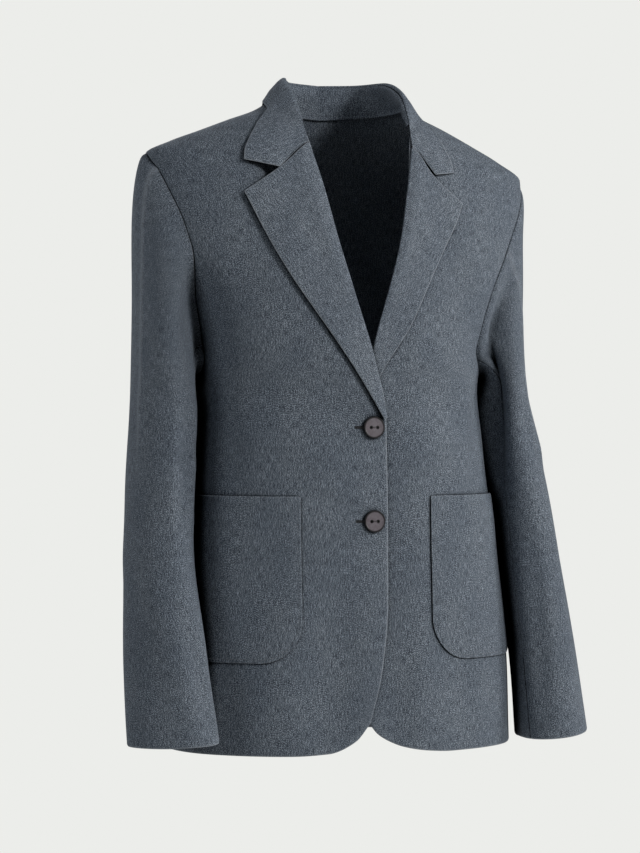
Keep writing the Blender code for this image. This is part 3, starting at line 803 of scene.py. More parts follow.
# How far the cloth folds in behind the sleeve (out, back, up), over what angle, the depths
# below the neck between which it comes in and goes out, and the angles where it ends
TUCK = {RIGHT: np.array([0.0, 0.022, 0.0]), LEFT: np.array([-0.009, 0.003, 0.0])}
TUCK_WIDTH = 9
TUCK_IN = {RIGHT: (0.180, 0.235), LEFT: (0.245, 0.300)}
TUCK_OUT = (0.268, 0.305)
TUCK_END = (80, 89)
# Folds die out over this angle beside a side seam and between these heights at the shoulder
HELD_ANGLE = 11
HELD_HEIGHTS = (-0.09, -0.04)
# How far the left front lies under the right one, the distances from the centre over which
# it comes back out, and the heights between which it fades to nothing
LAP_DROP = 0.0050
LAP_INNER = 0.012
LAP_OUTER = 0.060
LAP_HEIGHTS = (-0.30, -0.16)
# The chest sinks behind the right notch: distance from the centre, height, radius, depth
NOTCH_HOLLOW = (0.097, -0.093, 0.013, 0.0180)
print("side rows:", SIDE_ROWS, "and columns:", FRONT_COLUMNS)

# %% Folds of the fronts
# Columns: across and along at the start, across and along at the end, bow, half width, height
FRONT_FOLDS = {
    RIGHT: np.array([
        (0.020, -0.345, 0.180, -0.335, -0.010, 0.030, -0.0052),
        (0.215, -0.300, 0.175, -0.450, 0.010, 0.016, -0.0010),
        (0.235, -0.330, 0.220, -0.520, 0.006, 0.014, 0.0008),
        (0.000, -0.455, 0.110, -0.420, 0.006, 0.010, -0.0012),
        (0.110, -0.705, 0.120, -0.560, 0.004, 0.022, 0.0022),
        (0.175, -0.705, 0.165, -0.600, 0.000, 0.018, -0.0022),
        (0.060, -0.715, 0.050, -0.520, 0.000, 0.030, -0.0034),
        (0.165, -0.250, 0.120, -0.120, 0.012, 0.020, -0.0022),
    ]),
    LEFT: np.array([
        (0.005, -0.335, 0.150, -0.345, -0.012, 0.028, -0.0052),
        (0.195, -0.300, 0.150, -0.430, -0.008, 0.014, -0.0030),
        (0.225, -0.320, 0.205, -0.500, 0.004, 0.012, 0.0024),
        (0.120, -0.705, 0.110, -0.570, 0.003, 0.020, -0.0020),
        (0.060, -0.700, 0.065, -0.590, 0.002, 0.018, 0.0014),
        (0.185, -0.705, 0.190, -0.610, 0.000, 0.016, 0.0020),
        (0.150, -0.230, 0.110, -0.110, -0.010, 0.018, -0.0018),
    ]),
}
print("folds:", len(FRONT_FOLDS[RIGHT]), "right,", len(FRONT_FOLDS[LEFT]), "left")

# %% Side seams and armholes
def side_boundary(armhole):
    """Angles and heights up the side seam, round the armhole and in along the shoulder seam."""
    seam = np.column_stack([np.full(SIDE_ROWS + 1, 90.0),
                            np.linspace(HEM, UNDERARM, SIDE_ROWS + 1)])
    shoulder = np.column_stack([np.full(SHOULDER_ROWS, 90.0),
                                np.linspace(SHOULDER_TIP, NECK_POINT, SHOULDER_ROWS + 1)[1:]])
    return np.concatenate([seam, along_curve(armhole, ARMHOLE_ROWS)[1:], shoulder])


def drawn_in(boundary, direction):
    """A side boundary moved along the body by half a seam's gap, towards its own panel."""
    moved = boundary.copy()
    radius = body_radius(boundary[:, 0], boundary[:, 1])
    moved[:, 0] += direction * np.degrees(SEAM_GAP / 2 / radius)
    return moved


def seam_angle(armhole, height):
    """The angle of the side seam or the armhole at this height."""
    return np.interp(height, armhole[:, 1], armhole[:, 0], left=90.0, right=90.0)


# %% Places on a front
def tuck(side, angle, height):
    """How far the cloth folds in behind the sleeve, along the lower front of the armhole."""
    near = np.exp(-((seam_angle(ARMHOLE_FRONT[side], height) - angle) / TUCK_WIDTH) ** 2)
    along = smooth_step(-height, *TUCK_IN[side]) * (1 - smooth_step(-height, *TUCK_OUT))
    weight = near * along * (1 - smooth_step(angle, *TUCK_END))
    return weight[..., None] * TUCK[side]


def folded(folds, angle, height, to_seam):
    """The folds' rise on a panel of the body, held flat by the side and shoulder seams."""
    held = smooth_step(to_seam, 0, HELD_ANGLE) * (1 - smooth_step(height, *HELD_HEIGHTS))
    return fold_height(folds, np.radians(angle) * ROUND, height) * held


def front_place(side, grid, lift=0.0):
    """Points on a front, folds and all, moved out by lift, with their normals."""
    angle, height = grid[..., 0], grid[..., 1]
    normals = body_normals(angle, height)
    flat = body_points(angle, height)
    under = 1 - smooth_step(flat[..., 0], LAP_INNER, LAP_OUTER)
    below = 1 - smooth_step(height, *LAP_HEIGHTS)
    drop = LAP_DROP * under * below * (side == LEFT)
    to_seam = seam_angle(ARMHOLE_FRONT[side], height) - angle
    rise = folded(FRONT_FOLDS[side], angle, height, to_seam)
    points = body_points(angle, height, drop) + normals * (rise + lift)[..., None]
    points = points + tuck(side, angle, height)
    return tilted(points * (side, 1, 1)), normals * (side, 1, 1)


# %% The front's grid
def inner_angle(height, side):
    """The front's inner boundary: front edge, roll line and neck seam, as one function."""
    edge = as_angles(FRONT_EDGE[side][::-1])[:, ::-1]
    roll = as_angles(ROLL_LINE[1:, ::-1])[:, ::-1]
    neck = NECK_SEAM[::-1, [2, 1]][1:4]
    return smooth_value(np.concatenate([edge, roll, neck]), height, 1)


def front_grid(side):
    """One front as angles and heights, on its own side. Its rows are level above the hem."""
    right = drawn_in(side_boundary(ARMHOLE_FRONT[side]), -1)
    fade = (1 - smooth_step(np.arange(len(right)), 0, CUTAWAY_ROWS))[:, None]
    heights = right[:, 1] + (FRONT_EDGE[side][-1, 1] - HEM) * fade[:, 0]
    left = np.column_stack([inner_angle(heights, side), heights])
    across = np.linspace(0, 1, FRONT_COLUMNS + 1)[None, :, None]
    grid = left[:, None] * (1 - across) + right[:, None] * across
    corner = as_angles(HEM_CORNER[side])
    hem = along_curve(np.concatenate([corner, [(60.0, HEM), right[0]]]), FRONT_COLUMNS)
    return grid + (hem - grid[0])[None] * fade[:, None]


# %% Grain
def walked(points, axis):
    """Length walked from the first row (axis 0) or column (axis 1) of a grid to each point."""
    steps = np.linalg.norm(np.diff(points, axis=axis), axis=-1)
    start = np.zeros_like(np.take(steps, [0], axis=axis))
    return np.concatenate([start, np.cumsum(steps, axis=axis)], axis=axis)


def walked_grain(points, middle, level=None):
    """The grain of a panel: metres across from its middle column, and metres up. Where the
    rows are level, one column's length serves them all."""
    across, up = walked(points, 1), walked(points, 0)
    if level is not None:
        up = np.broadcast_to(up[:, level:level + 1], up.shape)
    return np.stack([across - across[:, middle:middle + 1], up], axis=-1)


# %% Fronts
fronts = {}
for side, word in ((RIGHT, "right"), (LEFT, "left")):
    grid = front_grid(side)
    sunk = 0.0
    if side == RIGHT:
        across, up, radius, depth = NOTCH_HOLLOW
        flat = body_points(grid[..., 0], grid[..., 1])
        away = np.hypot(flat[..., 0] - across, flat[..., 2] - up) / radius
        sunk = depth * np.exp(-away**2)
    points, normals = front_place(side, grid, -sunk)
    fronts[side] = cloth_shell(f"{word}_front_cloth", f"front_{word}", points, normals,
                               walked_grain(points, FRONT_COLUMNS // 2, FRONT_COLUMNS // 4),
                               ("bottom", "left"))

# %% Folds and grid of the back
BACK_FOLDS = np.array([
    (0.330, -0.300, 0.440, -0.420, 0.010, 0.018, -0.0051),
    (0.738, -0.300, 0.628, -0.430, -0.010, 0.018, -0.0051),
    (0.400, -0.395, 0.560, -0.405, 0.008, 0.016, -0.0039),
    (0.505, -0.430, 0.650, -0.420, -0.006, 0.014, -0.0033),
    (0.420, -0.705, 0.430, -0.500, 0.004, 0.024, -0.0045),
    (0.560, -0.705, 0.545, -0.480, -0.006, 0.026, 0.0042),
    (0.660, -0.705, 0.665, -0.540, 0.000, 0.022, -0.0042),
    (0.400, -0.280, 0.430, -0.150, -0.012, 0.018, 0.0036),
    (0.665, -0.280, 0.640, -0.150, 0.012, 0.018, 0.0036),
    (0.533, -0.300, 0.536, -0.060, 0.000, 0.030, -0.0030),
    (0.320, -0.330, 0.330, -0.560, 0.006, 0.014, -0.0039),
    (0.748, -0.330, 0.738, -0.560, -0.006, 0.014, -0.0039),
])


def back_grid():
    """The back as angles and heights, from the wearer's left side round to the right."""
    near = drawn_in(side_boundary(ARMHOLE_BACK), 1)
    across = np.linspace(0, 1, BACK_COLUMNS + 1)[None, :, None]
    far = near * (-1, 1) + (360, 0)
    grid = near[:, None] * (1 - across) + far[:, None] * across
    middle = np.minimum(grid[-1, :, 0], 360 - grid[-1, :, 0])
    seam = smooth_value(NECK_SEAM[:3, [1, 2]][::-1], middle, 1) - NECK_POINT
    rows = np.arange(len(near))
    weight = smooth_step(rows, len(near) - 1 - NECK_DIP_ROWS, len(near) - 1)
    grid[..., 1] += weight[:, None] * seam[None]
    return grid


# %% The back piece
grid = back_grid()
angle, height = grid[..., 0], grid[..., 1]
normals = body_normals(angle, height)
to_seam = np.minimum(angle, 360 - angle) - seam_angle(ARMHOLE_BACK, height)
rise = folded(BACK_FOLDS, angle, height, to_seam)
points = tilted(body_points(angle, height) + normals * rise[..., None])
back = cloth_shell("back_cloth", "back", points, normals,
                   walked_grain(points, BACK_COLUMNS // 2, BACK_COLUMNS // 2), ("bottom",))

# %% [markdown]
# ## Lapels
#
# A lapel is the front's own facing, turned back at the roll line. It isn't pressed flat:
# it rolls over, swells a little, and its outer edge springs off the chest. So the grid
# starts under the roll with half a turn, follows the chest, and lifts towards the tip.
# The facing is cut with its straight grain along the outer edge, so its streaks slant.

# %% The lapel's outline
# Lapel: outer edge from the break up to the tip, and the top edge from roll line to tip
# Columns: distance from the centre front on its own side, height
LAPEL_OUTER = {
    RIGHT: np.array([
        (-0.0118, -0.3530),
        (0.0166, -0.3060),
        (0.0462, -0.2604),
        (0.0675, -0.2290),
        (0.0819, -0.2074),
        (0.1006, -0.1762),
        (0.1146, -0.1488),
        (0.1296, -0.1165),
    ]),
    LEFT: np.array([
        (-0.0118, -0.3530),
        (0.0098, -0.3051),
        (0.0436, -0.2520),
        (0.0701, -0.1984),
        (0.1007, -0.1414),
        (0.1113, -0.1179),
    ]),
}
LAPEL_TOP = {
    RIGHT: np.array([
        (0.0590, -0.0600),
        (0.0920, -0.0886),
        (0.1296, -0.1165),
    ]),
    LEFT: np.array([
        (0.0590, -0.0600),
        (0.0809, -0.0918),
        (0.1113, -0.1179),
    ]),
}

# How far the lapel stands off the chest, at the roll and at its outer edge
LAPEL_LOW_LIFT = 0.0023
LAPEL_LIFT = {RIGHT: 0.0056, LEFT: 0.0035}
print("lapel tips:", LAPEL_TOP[RIGHT][-1], LAPEL_TOP[LEFT][-1])

# %% Lapels
LAPEL_ROWS = 96
LAPEL_COLUMNS = 34
ROLL_COLUMNS = 8
# The lift at the lapel's edge: its share low down, and how it grows from roll to edge
LIFT_LOW = 0.8
LIFT_GROWTH = 0.6
# Height of the swell beside the roll, and its place and width as shares of the lapel's
ROLL_SWELL = 0.0022
SWELL_PLACE = 0.16
# Heights between which both come to the full, the facing's slant and its thickness
LAPEL_RISE = (-0.27, -0.13)
FACING_SLANT = math.radians(31)
FACING_CLOTH = 0.0012


def lapel_flat(side):
    """The lapel as distance from the centre front and height, on its own side."""
    roll = np.column_stack([ROLL_LINE[:, 1], ROLL_LINE[:, 0]])
    roll[-1] = LAPEL_TOP[side][0]
    left = along_curve(roll, LAPEL_ROWS)
    right = along_curve(LAPEL_OUTER[side], LAPEL_ROWS)
    bottom = np.linspace(left[0], right[0], LAPEL_COLUMNS + 1)
    top = along_curve(LAPEL_TOP[side], LAPEL_COLUMNS)
    top[0] = left[-1]
    return patch(bottom, top, left, right)


def make_lapel(side, word):
    flat = lapel_flat(side)
    across = np.linspace(0, 1, LAPEL_COLUMNS + 1)[None, :]
    rise = smooth_step(flat[..., 1], *LAPEL_RISE)
    more = LAPEL_LIFT[side] - LAPEL_LOW_LIFT
    lift = LAPEL_LOW_LIFT + more * across**LIFT_GROWTH * (LIFT_LOW + (1 - LIFT_LOW) * rise)
    lift = lift + ROLL_SWELL * rise * np.exp(-((across - SWELL_PLACE) / SWELL_PLACE) ** 2)
    radius = lift[:, :1] / 2
    turn = np.linspace(0, math.pi, ROLL_COLUMNS + 1)[None, :-1]
    roll = flat[:, :1] - np.stack([radius * np.sin(turn), 0 * radius * turn], axis=-1)
    roll_lift = radius * (1 - np.cos(turn))
    flat = np.concatenate([roll, flat], axis=1)
    lift = np.concatenate([roll_lift, lift], axis=1)
    grid = np.stack([angle_at(flat[..., 0], flat[..., 1]), flat[..., 1]], axis=-1)
    points, _ = front_place(side, grid, lift)
    normals = grid_normals(points) * side
    out = flat[:, :1, 0] + walked(points, 1)
    grain = np.stack([out * math.cos(FACING_SLANT) - flat[..., 1] * math.sin(FACING_SLANT),
                      out * math.sin(FACING_SLANT) + flat[..., 1] * math.cos(FACING_SLANT)],
                     axis=-1)
    return cloth_shell(f"{word}_lapel_cloth", f"lapel_{word}", points, normals, grain,
                       ("right", "top", "left", "bottom"), slot="suiting_facing",
                       wall=FACING_CLOTH)


lapels = {side: make_lapel(side, word) for side, word in ((RIGHT, "right"), (LEFT, "left"))}

# %% [markdown]
# ## Collar
#
# The collar has a stand, which goes up round the neck, and a fall, which turns over it and
# lies on the shoulders. Both are swept round the neck: a table gives the fold line in space
# and two more give the outer edge and the neck seam on the body. Between the fold and the
# edge the fall follows a rounded profile, and it is kept clear of the cloth under it.

# %% The collar's tables
# Collar, from the centre back (0) to the gorge (1): the fold in space, and the outer edge and
# the neck seam as angle and height on the body
# Columns: share of the way, x, y, z
COLLAR_FOLD = np.array([
    (0.00, 0.0000, 0.0620, 0.020),
    (0.25, 0.0380, 0.0480, 0.0205),
    (0.50, 0.0550, 0.0050, 0.0185),
    (0.70, 0.0625, -0.0350, 0.004),
    (0.85, 0.0615, -0.0620, -0.021),
    (1.00, 0.0585, -0.0875, -0.0570),
])
# Columns: share of the way, angle, height
COLLAR_EDGE = {
    RIGHT: np.array([
        (0.00, 180.0, -0.036),
        (0.25, 140.0, -0.029),
        (0.50, 100.0, -0.0085),
        (0.70, 67.5, -0.0225),
        (0.85, 60.0, -0.0475),
        (1.00, 56.9, -0.0846),
    ]),
    LEFT: np.array([
        (0.00, 180.0, -0.036),
        (0.25, 140.0, -0.029),
        (0.50, 95.0, -0.0085),
        (0.70, 57.0, -0.0265),
        (0.85, 52.0, -0.0540),
        (1.00, 49.3, -0.0856),
    ]),
}

# How far the fall lies above the body, and its ends off the chest at their outer edge
COLLAR_LIFT = 0.0026
COLLAR_END_LIFT = {RIGHT: 0.0070, LEFT: 0.0030}
# At its ends the fall dips into the notch, and its inner rows shift towards the fold
NOTCH_DIP = {RIGHT: 0.0226, LEFT: 0.0218}
NOTCH_SHIFT = -0.06
# Where the stand ends, and how far it stays inside the fall and below the fold
STAND_END = 0.90
STAND_INSET = 0.0037
STAND_BELOW = 0.0030

# The fall's profile from the fold to the outer edge: share of the way, and how far it stands
# up and out from the straight line between them
# Columns: share, up, out
FALL_PROFILE = np.array([
    (0.00, 0.0000, 0.0000),
    (0.02, 0.0030, 0.0006),
    (0.08, 0.0044, 0.0024),
    (0.24, 0.0034, 0.0042),
    (0.50, 0.0015, 0.0045),
    (0.75, 0.0003, 0.0025),
    (1.00, 0.0000, 0.0000),
])
print("collar sections:", len(COLLAR_FOLD))

# %% Rows of the collar
COLLAR_COLUMNS = 64
FALL_ROWS = 26
STAND_ROWS = 10


def collar_side(along, side):
    """Fold, outer edge and neck seam of one half of the collar, as rows of points."""
    fold = np.column_stack([smooth_value(COLLAR_FOLD, along, c) for c in (1, 2, 3)])
    edge = [smooth_value(COLLAR_EDGE[side], along, c) for c in (1, 2)]
    seam = [smooth_value(NECK_SEAM, along, c) for c in (1, 2)]
    outer = body_points(edge[0], edge[1], -COLLAR_LIFT)
    outer[:, 2] += COLLAR_LIFT
    neck = body_points(seam[0], seam[1])
    for rows in (fold, outer, neck):
        rows[:, 0] *= side
    return fold, outer, neck


def both_sides(count, reach):
    """Collar rows from the right end to the left end, through the centre back."""
    along = np.linspace(0, reach, count + 1)
    right = collar_side(along[::-1], RIGHT)
    left = collar_side(along, LEFT)
    rows = [np.concatenate([a, b[1:]]) for a, b in zip(right, left)]
    return np.concatenate([along[::-1], along[1:]]), rows


def sheet_grain(points):
    """Grain for a strip: metres along its middle row, and metres across it."""
    up = walked(points, 0)
    along = walked(points[len(points) // 2], 0)
    return np.stack([np.broadcast_to(along, up.shape), up], axis=-1)


print("collar rows:", FALL_ROWS, "and", STAND_ROWS)

# %% Fall and stand
# Where the fall's ends begin, and how much of the profile is left at the gorge
END_FROM = 0.62
PROFILE_AT_GORGE = 0.3
# Rows crowd towards the fold by this power
FALL_CROWD = 1.6
# Share of the stand's inset at the neck seam, then its allowances, which keep the light out:
# under that seam (out, down) and over to the fold (share of the inset, down)
STAND_FOOT = 0.7
STAND_UNDER = (0.0026, 0.0060)
STAND_OVER = ((0.75, 0.0014), (0.1, 0.0002))


def make_fall():
    along, (fold, outer, _) = both_sides(COLLAR_COLUMNS, 1.0)
    away = unit((outer - fold) * (1, 1, 0))
    free = np.interp(along, [0, 0.6, 1.0], [1.0, 1.0, PROFILE_AT_GORGE])[:, None]
    end = smooth_step(along, END_FROM, 1.0)
    stands_off = np.where(outer[:, 0] < 0, COLLAR_END_LIFT[RIGHT], COLLAR_END_LIFT[LEFT]) * end
    dip = np.where(outer[:, 0] < 0, NOTCH_DIP[RIGHT], NOTCH_DIP[LEFT]) * end
    rows = []
    for share in np.linspace(0, 1, FALL_ROWS + 1) ** FALL_CROWD:
        middle = 1 - abs(2 * share - 1)
        way = (share + NOTCH_SHIFT * end * middle)[:, None]
        up, out = (smooth_value(FALL_PROFILE, share, column) for column in (1, 2))
        row = fold + (outer - fold) * way + free * (away * out + np.array([0, 0, 1]) * up)
        row[:, 2] -= dip * middle
        lift = np.maximum(COLLAR_LIFT, stands_off * share)
        kept = smooth_step(share, 0.02, 0.08)
        rows.append(row + (clear_of_body(row, 1, lift) - row) * kept)
    points = tilted(np.array(rows[::-1]))
    return cloth_shell("collar_fall_cloth", "collar_fall", points, -grid_normals(points),
                       sheet_grain(points), ("bottom", "left", "right"),
                       slot="suiting_facing")


def make_stand():
    along, (fold, _, neck) = both_sides(COLLAR_COLUMNS, STAND_END)
    inward = -unit(neck * (1, 1, 0)) * (STAND_INSET * smooth_step(along, 0.3, 0.7))[:, None]
    low = neck + inward * STAND_FOOT + np.array([0, 0, SEAM_GAP * 2])
    high = fold + inward - np.array([0, 0, STAND_BELOW])
    share = np.linspace(0, 1, STAND_ROWS + 1)[:, None, None]
    up = np.array([0, 0, 1])
    under = low - unit(neck * (1, 1, 0)) * STAND_UNDER[0] - up * STAND_UNDER[1]
    over = [fold + inward * kept - up * down for kept, down in STAND_OVER]
    points = tilted(np.concatenate([under[None], low + (high - low) * share, over]))
    return cloth_shell("collar_stand_cloth", "collar_stand", points, grid_normals(points),
                       sheet_grain(points), ())


fall = make_fall()
stand = make_stand()

# %% [markdown]
# ## Patch pockets
#
# A patch pocket is a flat piece with its edges pressed under, stitched on close to the
# edge. It lies on the front, so its points are the front's own, folds and all, moved out
# by a little more than one thickness of cloth. The stitching pulls a shallow groove just
# inside the sides and the bottom; the top is left open.

# %% The pocket's shape
# Inner side from the centre front, outer side as an angle, heights, corner radius
POCKET_INNER = {RIGHT: 0.078, LEFT: 0.066}
POCKET_OUTER_ANGLE = 83.0
POCKET_WIDTH = 0.152
POCKET_TOP = -0.434
POCKET_BOTTOM = -0.608
POCKET_CORNER = 0.045
POCKET_LIFT = 0.0024
POCKET_STEPS = 56
# Strength of the painted highlight along the pocket's edges
POCKET_SHINE = 0.35
STITCH_INSET = 0.0035
GROOVE = 0.0006
GROOVE_WIDTH = 0.0022
# The middle of the pocket stands off a little; half width as a share of the pocket's width
BELLY = 0.0016
BELLY_WIDTH = 0.3


def pocket_flat():
    """The pocket's flat shape: square at the top, round at the lower corners."""
    turns = np.radians(np.linspace(0, 45, 9))
    base = POCKET_BOTTOM + POCKET_CORNER
    arc = [(POCKET_CORNER * (1 - math.cos(t)), base - POCKET_CORNER * math.sin(t))
           for t in turns]
    below = [(POCKET_CORNER * (1 - math.sin(t)), base - POCKET_CORNER * math.cos(t))
             for t in turns[::-1]]
    upright = [(0.0, POCKET_TOP), (0.0, 0.5 * (POCKET_TOP + base))]
    left = along_curve(np.array(upright + arc)[::-1], POCKET_STEPS)
    right = np.column_stack([POCKET_WIDTH - left[:, 0], left[:, 1]])
    lower = below + [(POCKET_WIDTH - x, z) for x, z in below[::-1]]
    bottom = along_curve(np.array(lower), POCKET_STEPS)
    top = np.column_stack([np.linspace(0, POCKET_WIDTH, POCKET_STEPS + 1),
                           np.full(POCKET_STEPS + 1, POCKET_TOP)])
    return patch(bottom, top, left, right)


def pocket_place(side, flat, lift):
    start = angle_at(np.full(flat.shape[:-1], POCKET_INNER[side]), flat[..., 1])
    share = flat[..., 0] / POCKET_WIDTH
    grid = np.stack([start + (POCKET_OUTER_ANGLE - start) * share, flat[..., 1]], axis=-1)
    return front_place(side, grid, lift)


def from_edge(flat):
    """Distance from the pocket's sides and bottom, in metres."""
    x = np.minimum(flat[..., 0], POCKET_WIDTH - flat[..., 0])
    z = flat[..., 1] - POCKET_BOTTOM
    corner = POCKET_CORNER - np.hypot(np.minimum(x - POCKET_CORNER, 0),
                                      np.minimum(z - POCKET_CORNER, 0))
    return np.where((x < POCKET_CORNER) & (z < POCKET_CORNER), corner, np.minimum(x, z))


pockets = {}
for side, word in ((RIGHT, "right"), (LEFT, "left")):
    flat = pocket_flat()
    dip = GROOVE * np.exp(-((from_edge(flat) - STITCH_INSET) / GROOVE_WIDTH) ** 2)
    belly = BELLY * np.exp(-((flat[..., 0] / POCKET_WIDTH - 0.5) / BELLY_WIDTH) ** 2)
    belly = belly * smooth_step(flat[..., 1], POCKET_BOTTOM + 0.02, POCKET_TOP)
    points, normals = pocket_place(side, flat, POCKET_LIFT + belly - dip)
    pockets[side] = cloth_shell(f"{word}_pocket_cloth", f"pocket_{word}", points, normals,
                                flat, ("bottom", "left", "right", "top"),
                                shine=POCKET_SHINE)

# %% [markdown]
# ## Sleeves
#
# A tailored sleeve is cut in two parts and sewn into a tube that already bends at the
# elbow. Its head leaves the armhole almost level, then turns down over the shoulder pad.
# Each row of the tube is a section: from the armhole's own curve, through a smooth turn, to
# ovals that lean and turn with the arm. The two seams split the tube lengthways, and the
# front one ends in a short vent above the cuff. At the armhole an allowance turns down
# under the body's edge, so that no light passes. A pressed line runs down the outside,
# with a painted highlight along it.

# %% Sections of the sleeves
# Columns: height, distance out, distance forward, half width front to back, half width across,
# turn in (degrees), how far the inner back is pressed towards the body
SLEEVES = {
    RIGHT: np.array([
        (-0.345, 0.2000, 0.018, 0.062, 0.0340, 0, 0.018),
        (-0.440, 0.2090, 0.036, 0.060, 0.0340, 2, 0.014),
        (-0.520, 0.2140, 0.056, 0.057, 0.0345, 7, 0.0075),
        (-0.600, 0.2140, 0.078, 0.055, 0.0360, 24, 0.0070),
        (-0.690, 0.2120, 0.100, 0.054, 0.0380, 40, 0.012),
    ]),
    LEFT: np.array([
        (-0.345, 0.1905, 0.004, 0.064, 0.0305, 0, 0.010),
        (-0.440, 0.2055, 0.020, 0.061, 0.0335, 3, 0.007),
        (-0.520, 0.2145, 0.036, 0.058, 0.0350, 7, 0),
        (-0.600, 0.2237, 0.048, 0.056, 0.0360, 11, 0),
        (-0.697, 0.2330, 0.060, 0.054, 0.0375, 15, 0.010),
    ]),
}
# Where round the sleeve the body presses it in, in degrees
PRESS_TURN = 205
# Slope of the cuff and the depths over which it comes in, reach of the sleeve's head from
# the armhole, the slit at the cuff and the gap at the armhole
CUFF_SLOPE = {RIGHT: -0.05, LEFT: 0.10}
CUFF_HEIGHTS = (0.40, 0.69)
CAP_REACH_TOP = {RIGHT: 0.024, LEFT: 0.0135}
CAP_REACH_UNDER = 0.016
VENT_LENGTH = 0.090
VENT_GAP = 0.0012
ARMHOLE_GAP = 0.0007
print("sleeve sections:", len(SLEEVES[RIGHT]))

# %% Rows, seams and pressed line
SLEEVE_UPPER_ROWS = 32
SLEEVE_LOWER_ROWS = 62
SLEEVE_ROUND = 0.05
# How the head leaves the armhole: its rise for each metre out, and how its rows crowd there
HEAD_RISE = 0.06
HEAD_CROWD = 1.25
# Folds come in between these distances from the armhole
HEAD_HELD = (0.003, 0.03)
# Columns of the two seams and of the pressed line, then its height and its painted highlight,
# each with its half width in columns and the heights between which it comes in
FORE_SEAM = 10
HIND_SEAM = 70
PRESS_LINE = {RIGHT: 40, LEFT: 29}
PRESS_HEIGHT, RIDGE_HALF, RIDGE_FROM = 0.0016, 0.8, (-0.42, -0.28)
PRESS_SHINE, SHINE_HALF, SHINE_FROM = {RIGHT: 0.85, LEFT: 0.5}, 0.7, (-0.44, -0.32)
# The right sleeve's head gets a painted highlight along the armhole, above the lower part of it
HEAD_SHINE = (-0.24, -0.18)
# The allowance at the armhole: how far it turns down and how far it lies under the body
TURN_DOWN = 0.0021
UNDER_LAP = 0.0025
print("sleeve rows:", SLEEVE_UPPER_ROWS + SLEEVE_LOWER_ROWS)

# %% Folds of the sleeves
# Columns as for the fronts; across is the turn round the sleeve times SLEEVE_ROUND
SLEEVE_FOLDS = {
    RIGHT: np.array([
        (0.010, -0.330, 0.060, -0.300, 0.004, 0.012, -0.0030),
        (-0.050, -0.380, 0.020, -0.400, 0.006, 0.010, -0.0028),
        (-0.040, -0.440, 0.030, -0.480, -0.006, 0.012, -0.0024),
        (-0.022, -0.330, -0.016, -0.470, 0.000, 0.013, -0.0040),
        (0.030, -0.690, 0.035, -0.480, 0.004, 0.016, 0.0022),
        (0.000, -0.690, 0.004, -0.560, 0.000, 0.010, -0.0018),
        (0.160, -0.300, 0.150, -0.420, 0.004, 0.014, -0.0028),
        (0.120, -0.520, 0.150, -0.420, 0.004, 0.012, -0.0024),
        (0.030, -0.140, 0.020, -0.300, 0.004, 0.018, 0.0022),
    ]),
    LEFT: np.array([
        (0.010, -0.165, -0.054, -0.420, 0.011, 0.019, -0.0160),
        (0.020, -0.165, -0.022, -0.265, 0.000, 0.009, -0.0060),
        (0.018, -0.330, 0.050, -0.400, 0.004, 0.012, 0.0028),
        (0.025, -0.690, 0.028, -0.440, 0.004, 0.014, 0.0024),
        (-0.020, -0.690, -0.010, -0.480, 0.000, 0.012, -0.0024),
        (0.160, -0.300, 0.150, -0.440, -0.004, 0.014, -0.0028),
        (0.100, -0.560, 0.140, -0.430, 0.004, 0.012, -0.0024),
    ]),
}
print("folds:", len(SLEEVE_FOLDS[RIGHT]), "right,", len(SLEEVE_FOLDS[LEFT]), "left")

# %% Armhole and rings
def armhole_loop(side):
    """The armhole from the underarm up the front to the tip and down the back, in space:
    the seam itself, then the allowance that turns down and lies under the body's edge."""
    front = along_curve(ARMHOLE_FRONT[side], ARMHOLE_ROWS)
    back = along_curve(ARMHOLE_BACK, ARMHOLE_ROWS)[::-1]
    loop = np.concatenate([front, back[1:]])
    points = body_points(loop[:, 0], loop[:, 1])
    sunk = tuck(side, loop[:, 0], loop[:, 1])
    normals = body_normals(loop[:, 0], loop[:, 1])
    away = unit(np.cross(normals, np.gradient(points, axis=0)))
    middle = points.mean(axis=0)
    away *= np.sign(np.sum(away * (middle - points), axis=1))[:, None]
    steps = ((ARMHOLE_GAP, 0), (ARMHOLE_GAP, TURN_DOWN), (-UNDER_LAP, TURN_DOWN))
    return [tilted((points + sunk + away * out - normals * down) * (side, 1, 1))
            for out, down in steps]


def sleeve_ring(side, height, turns):
    """One section of a sleeve: turns in radians, 0 at the front, a quarter turn at the outside."""
    table = SLEEVES[side][::-1]
    out, forward, long_half, short_half, turn_in, press = (
        smooth_value(table, height, column) for column in range(1, 7))
    lean = math.radians(turn_in)
    across = short_half * np.sin(turns)
    ahead = long_half * np.cos(turns)
    x = out + across * math.cos(lean) - ahead * math.sin(lean)
    y = -forward - ahead * math.cos(lean) - across * math.sin(lean)
    x -= press * np.maximum(0, np.cos(turns - math.radians(PRESS_TURN))) ** 2
    slope = CUFF_SLOPE[side] * smooth_step(-height, *CUFF_HEIGHTS)
    z = height + slope * (x - out)
    return np.column_stack([side * x, y, z])


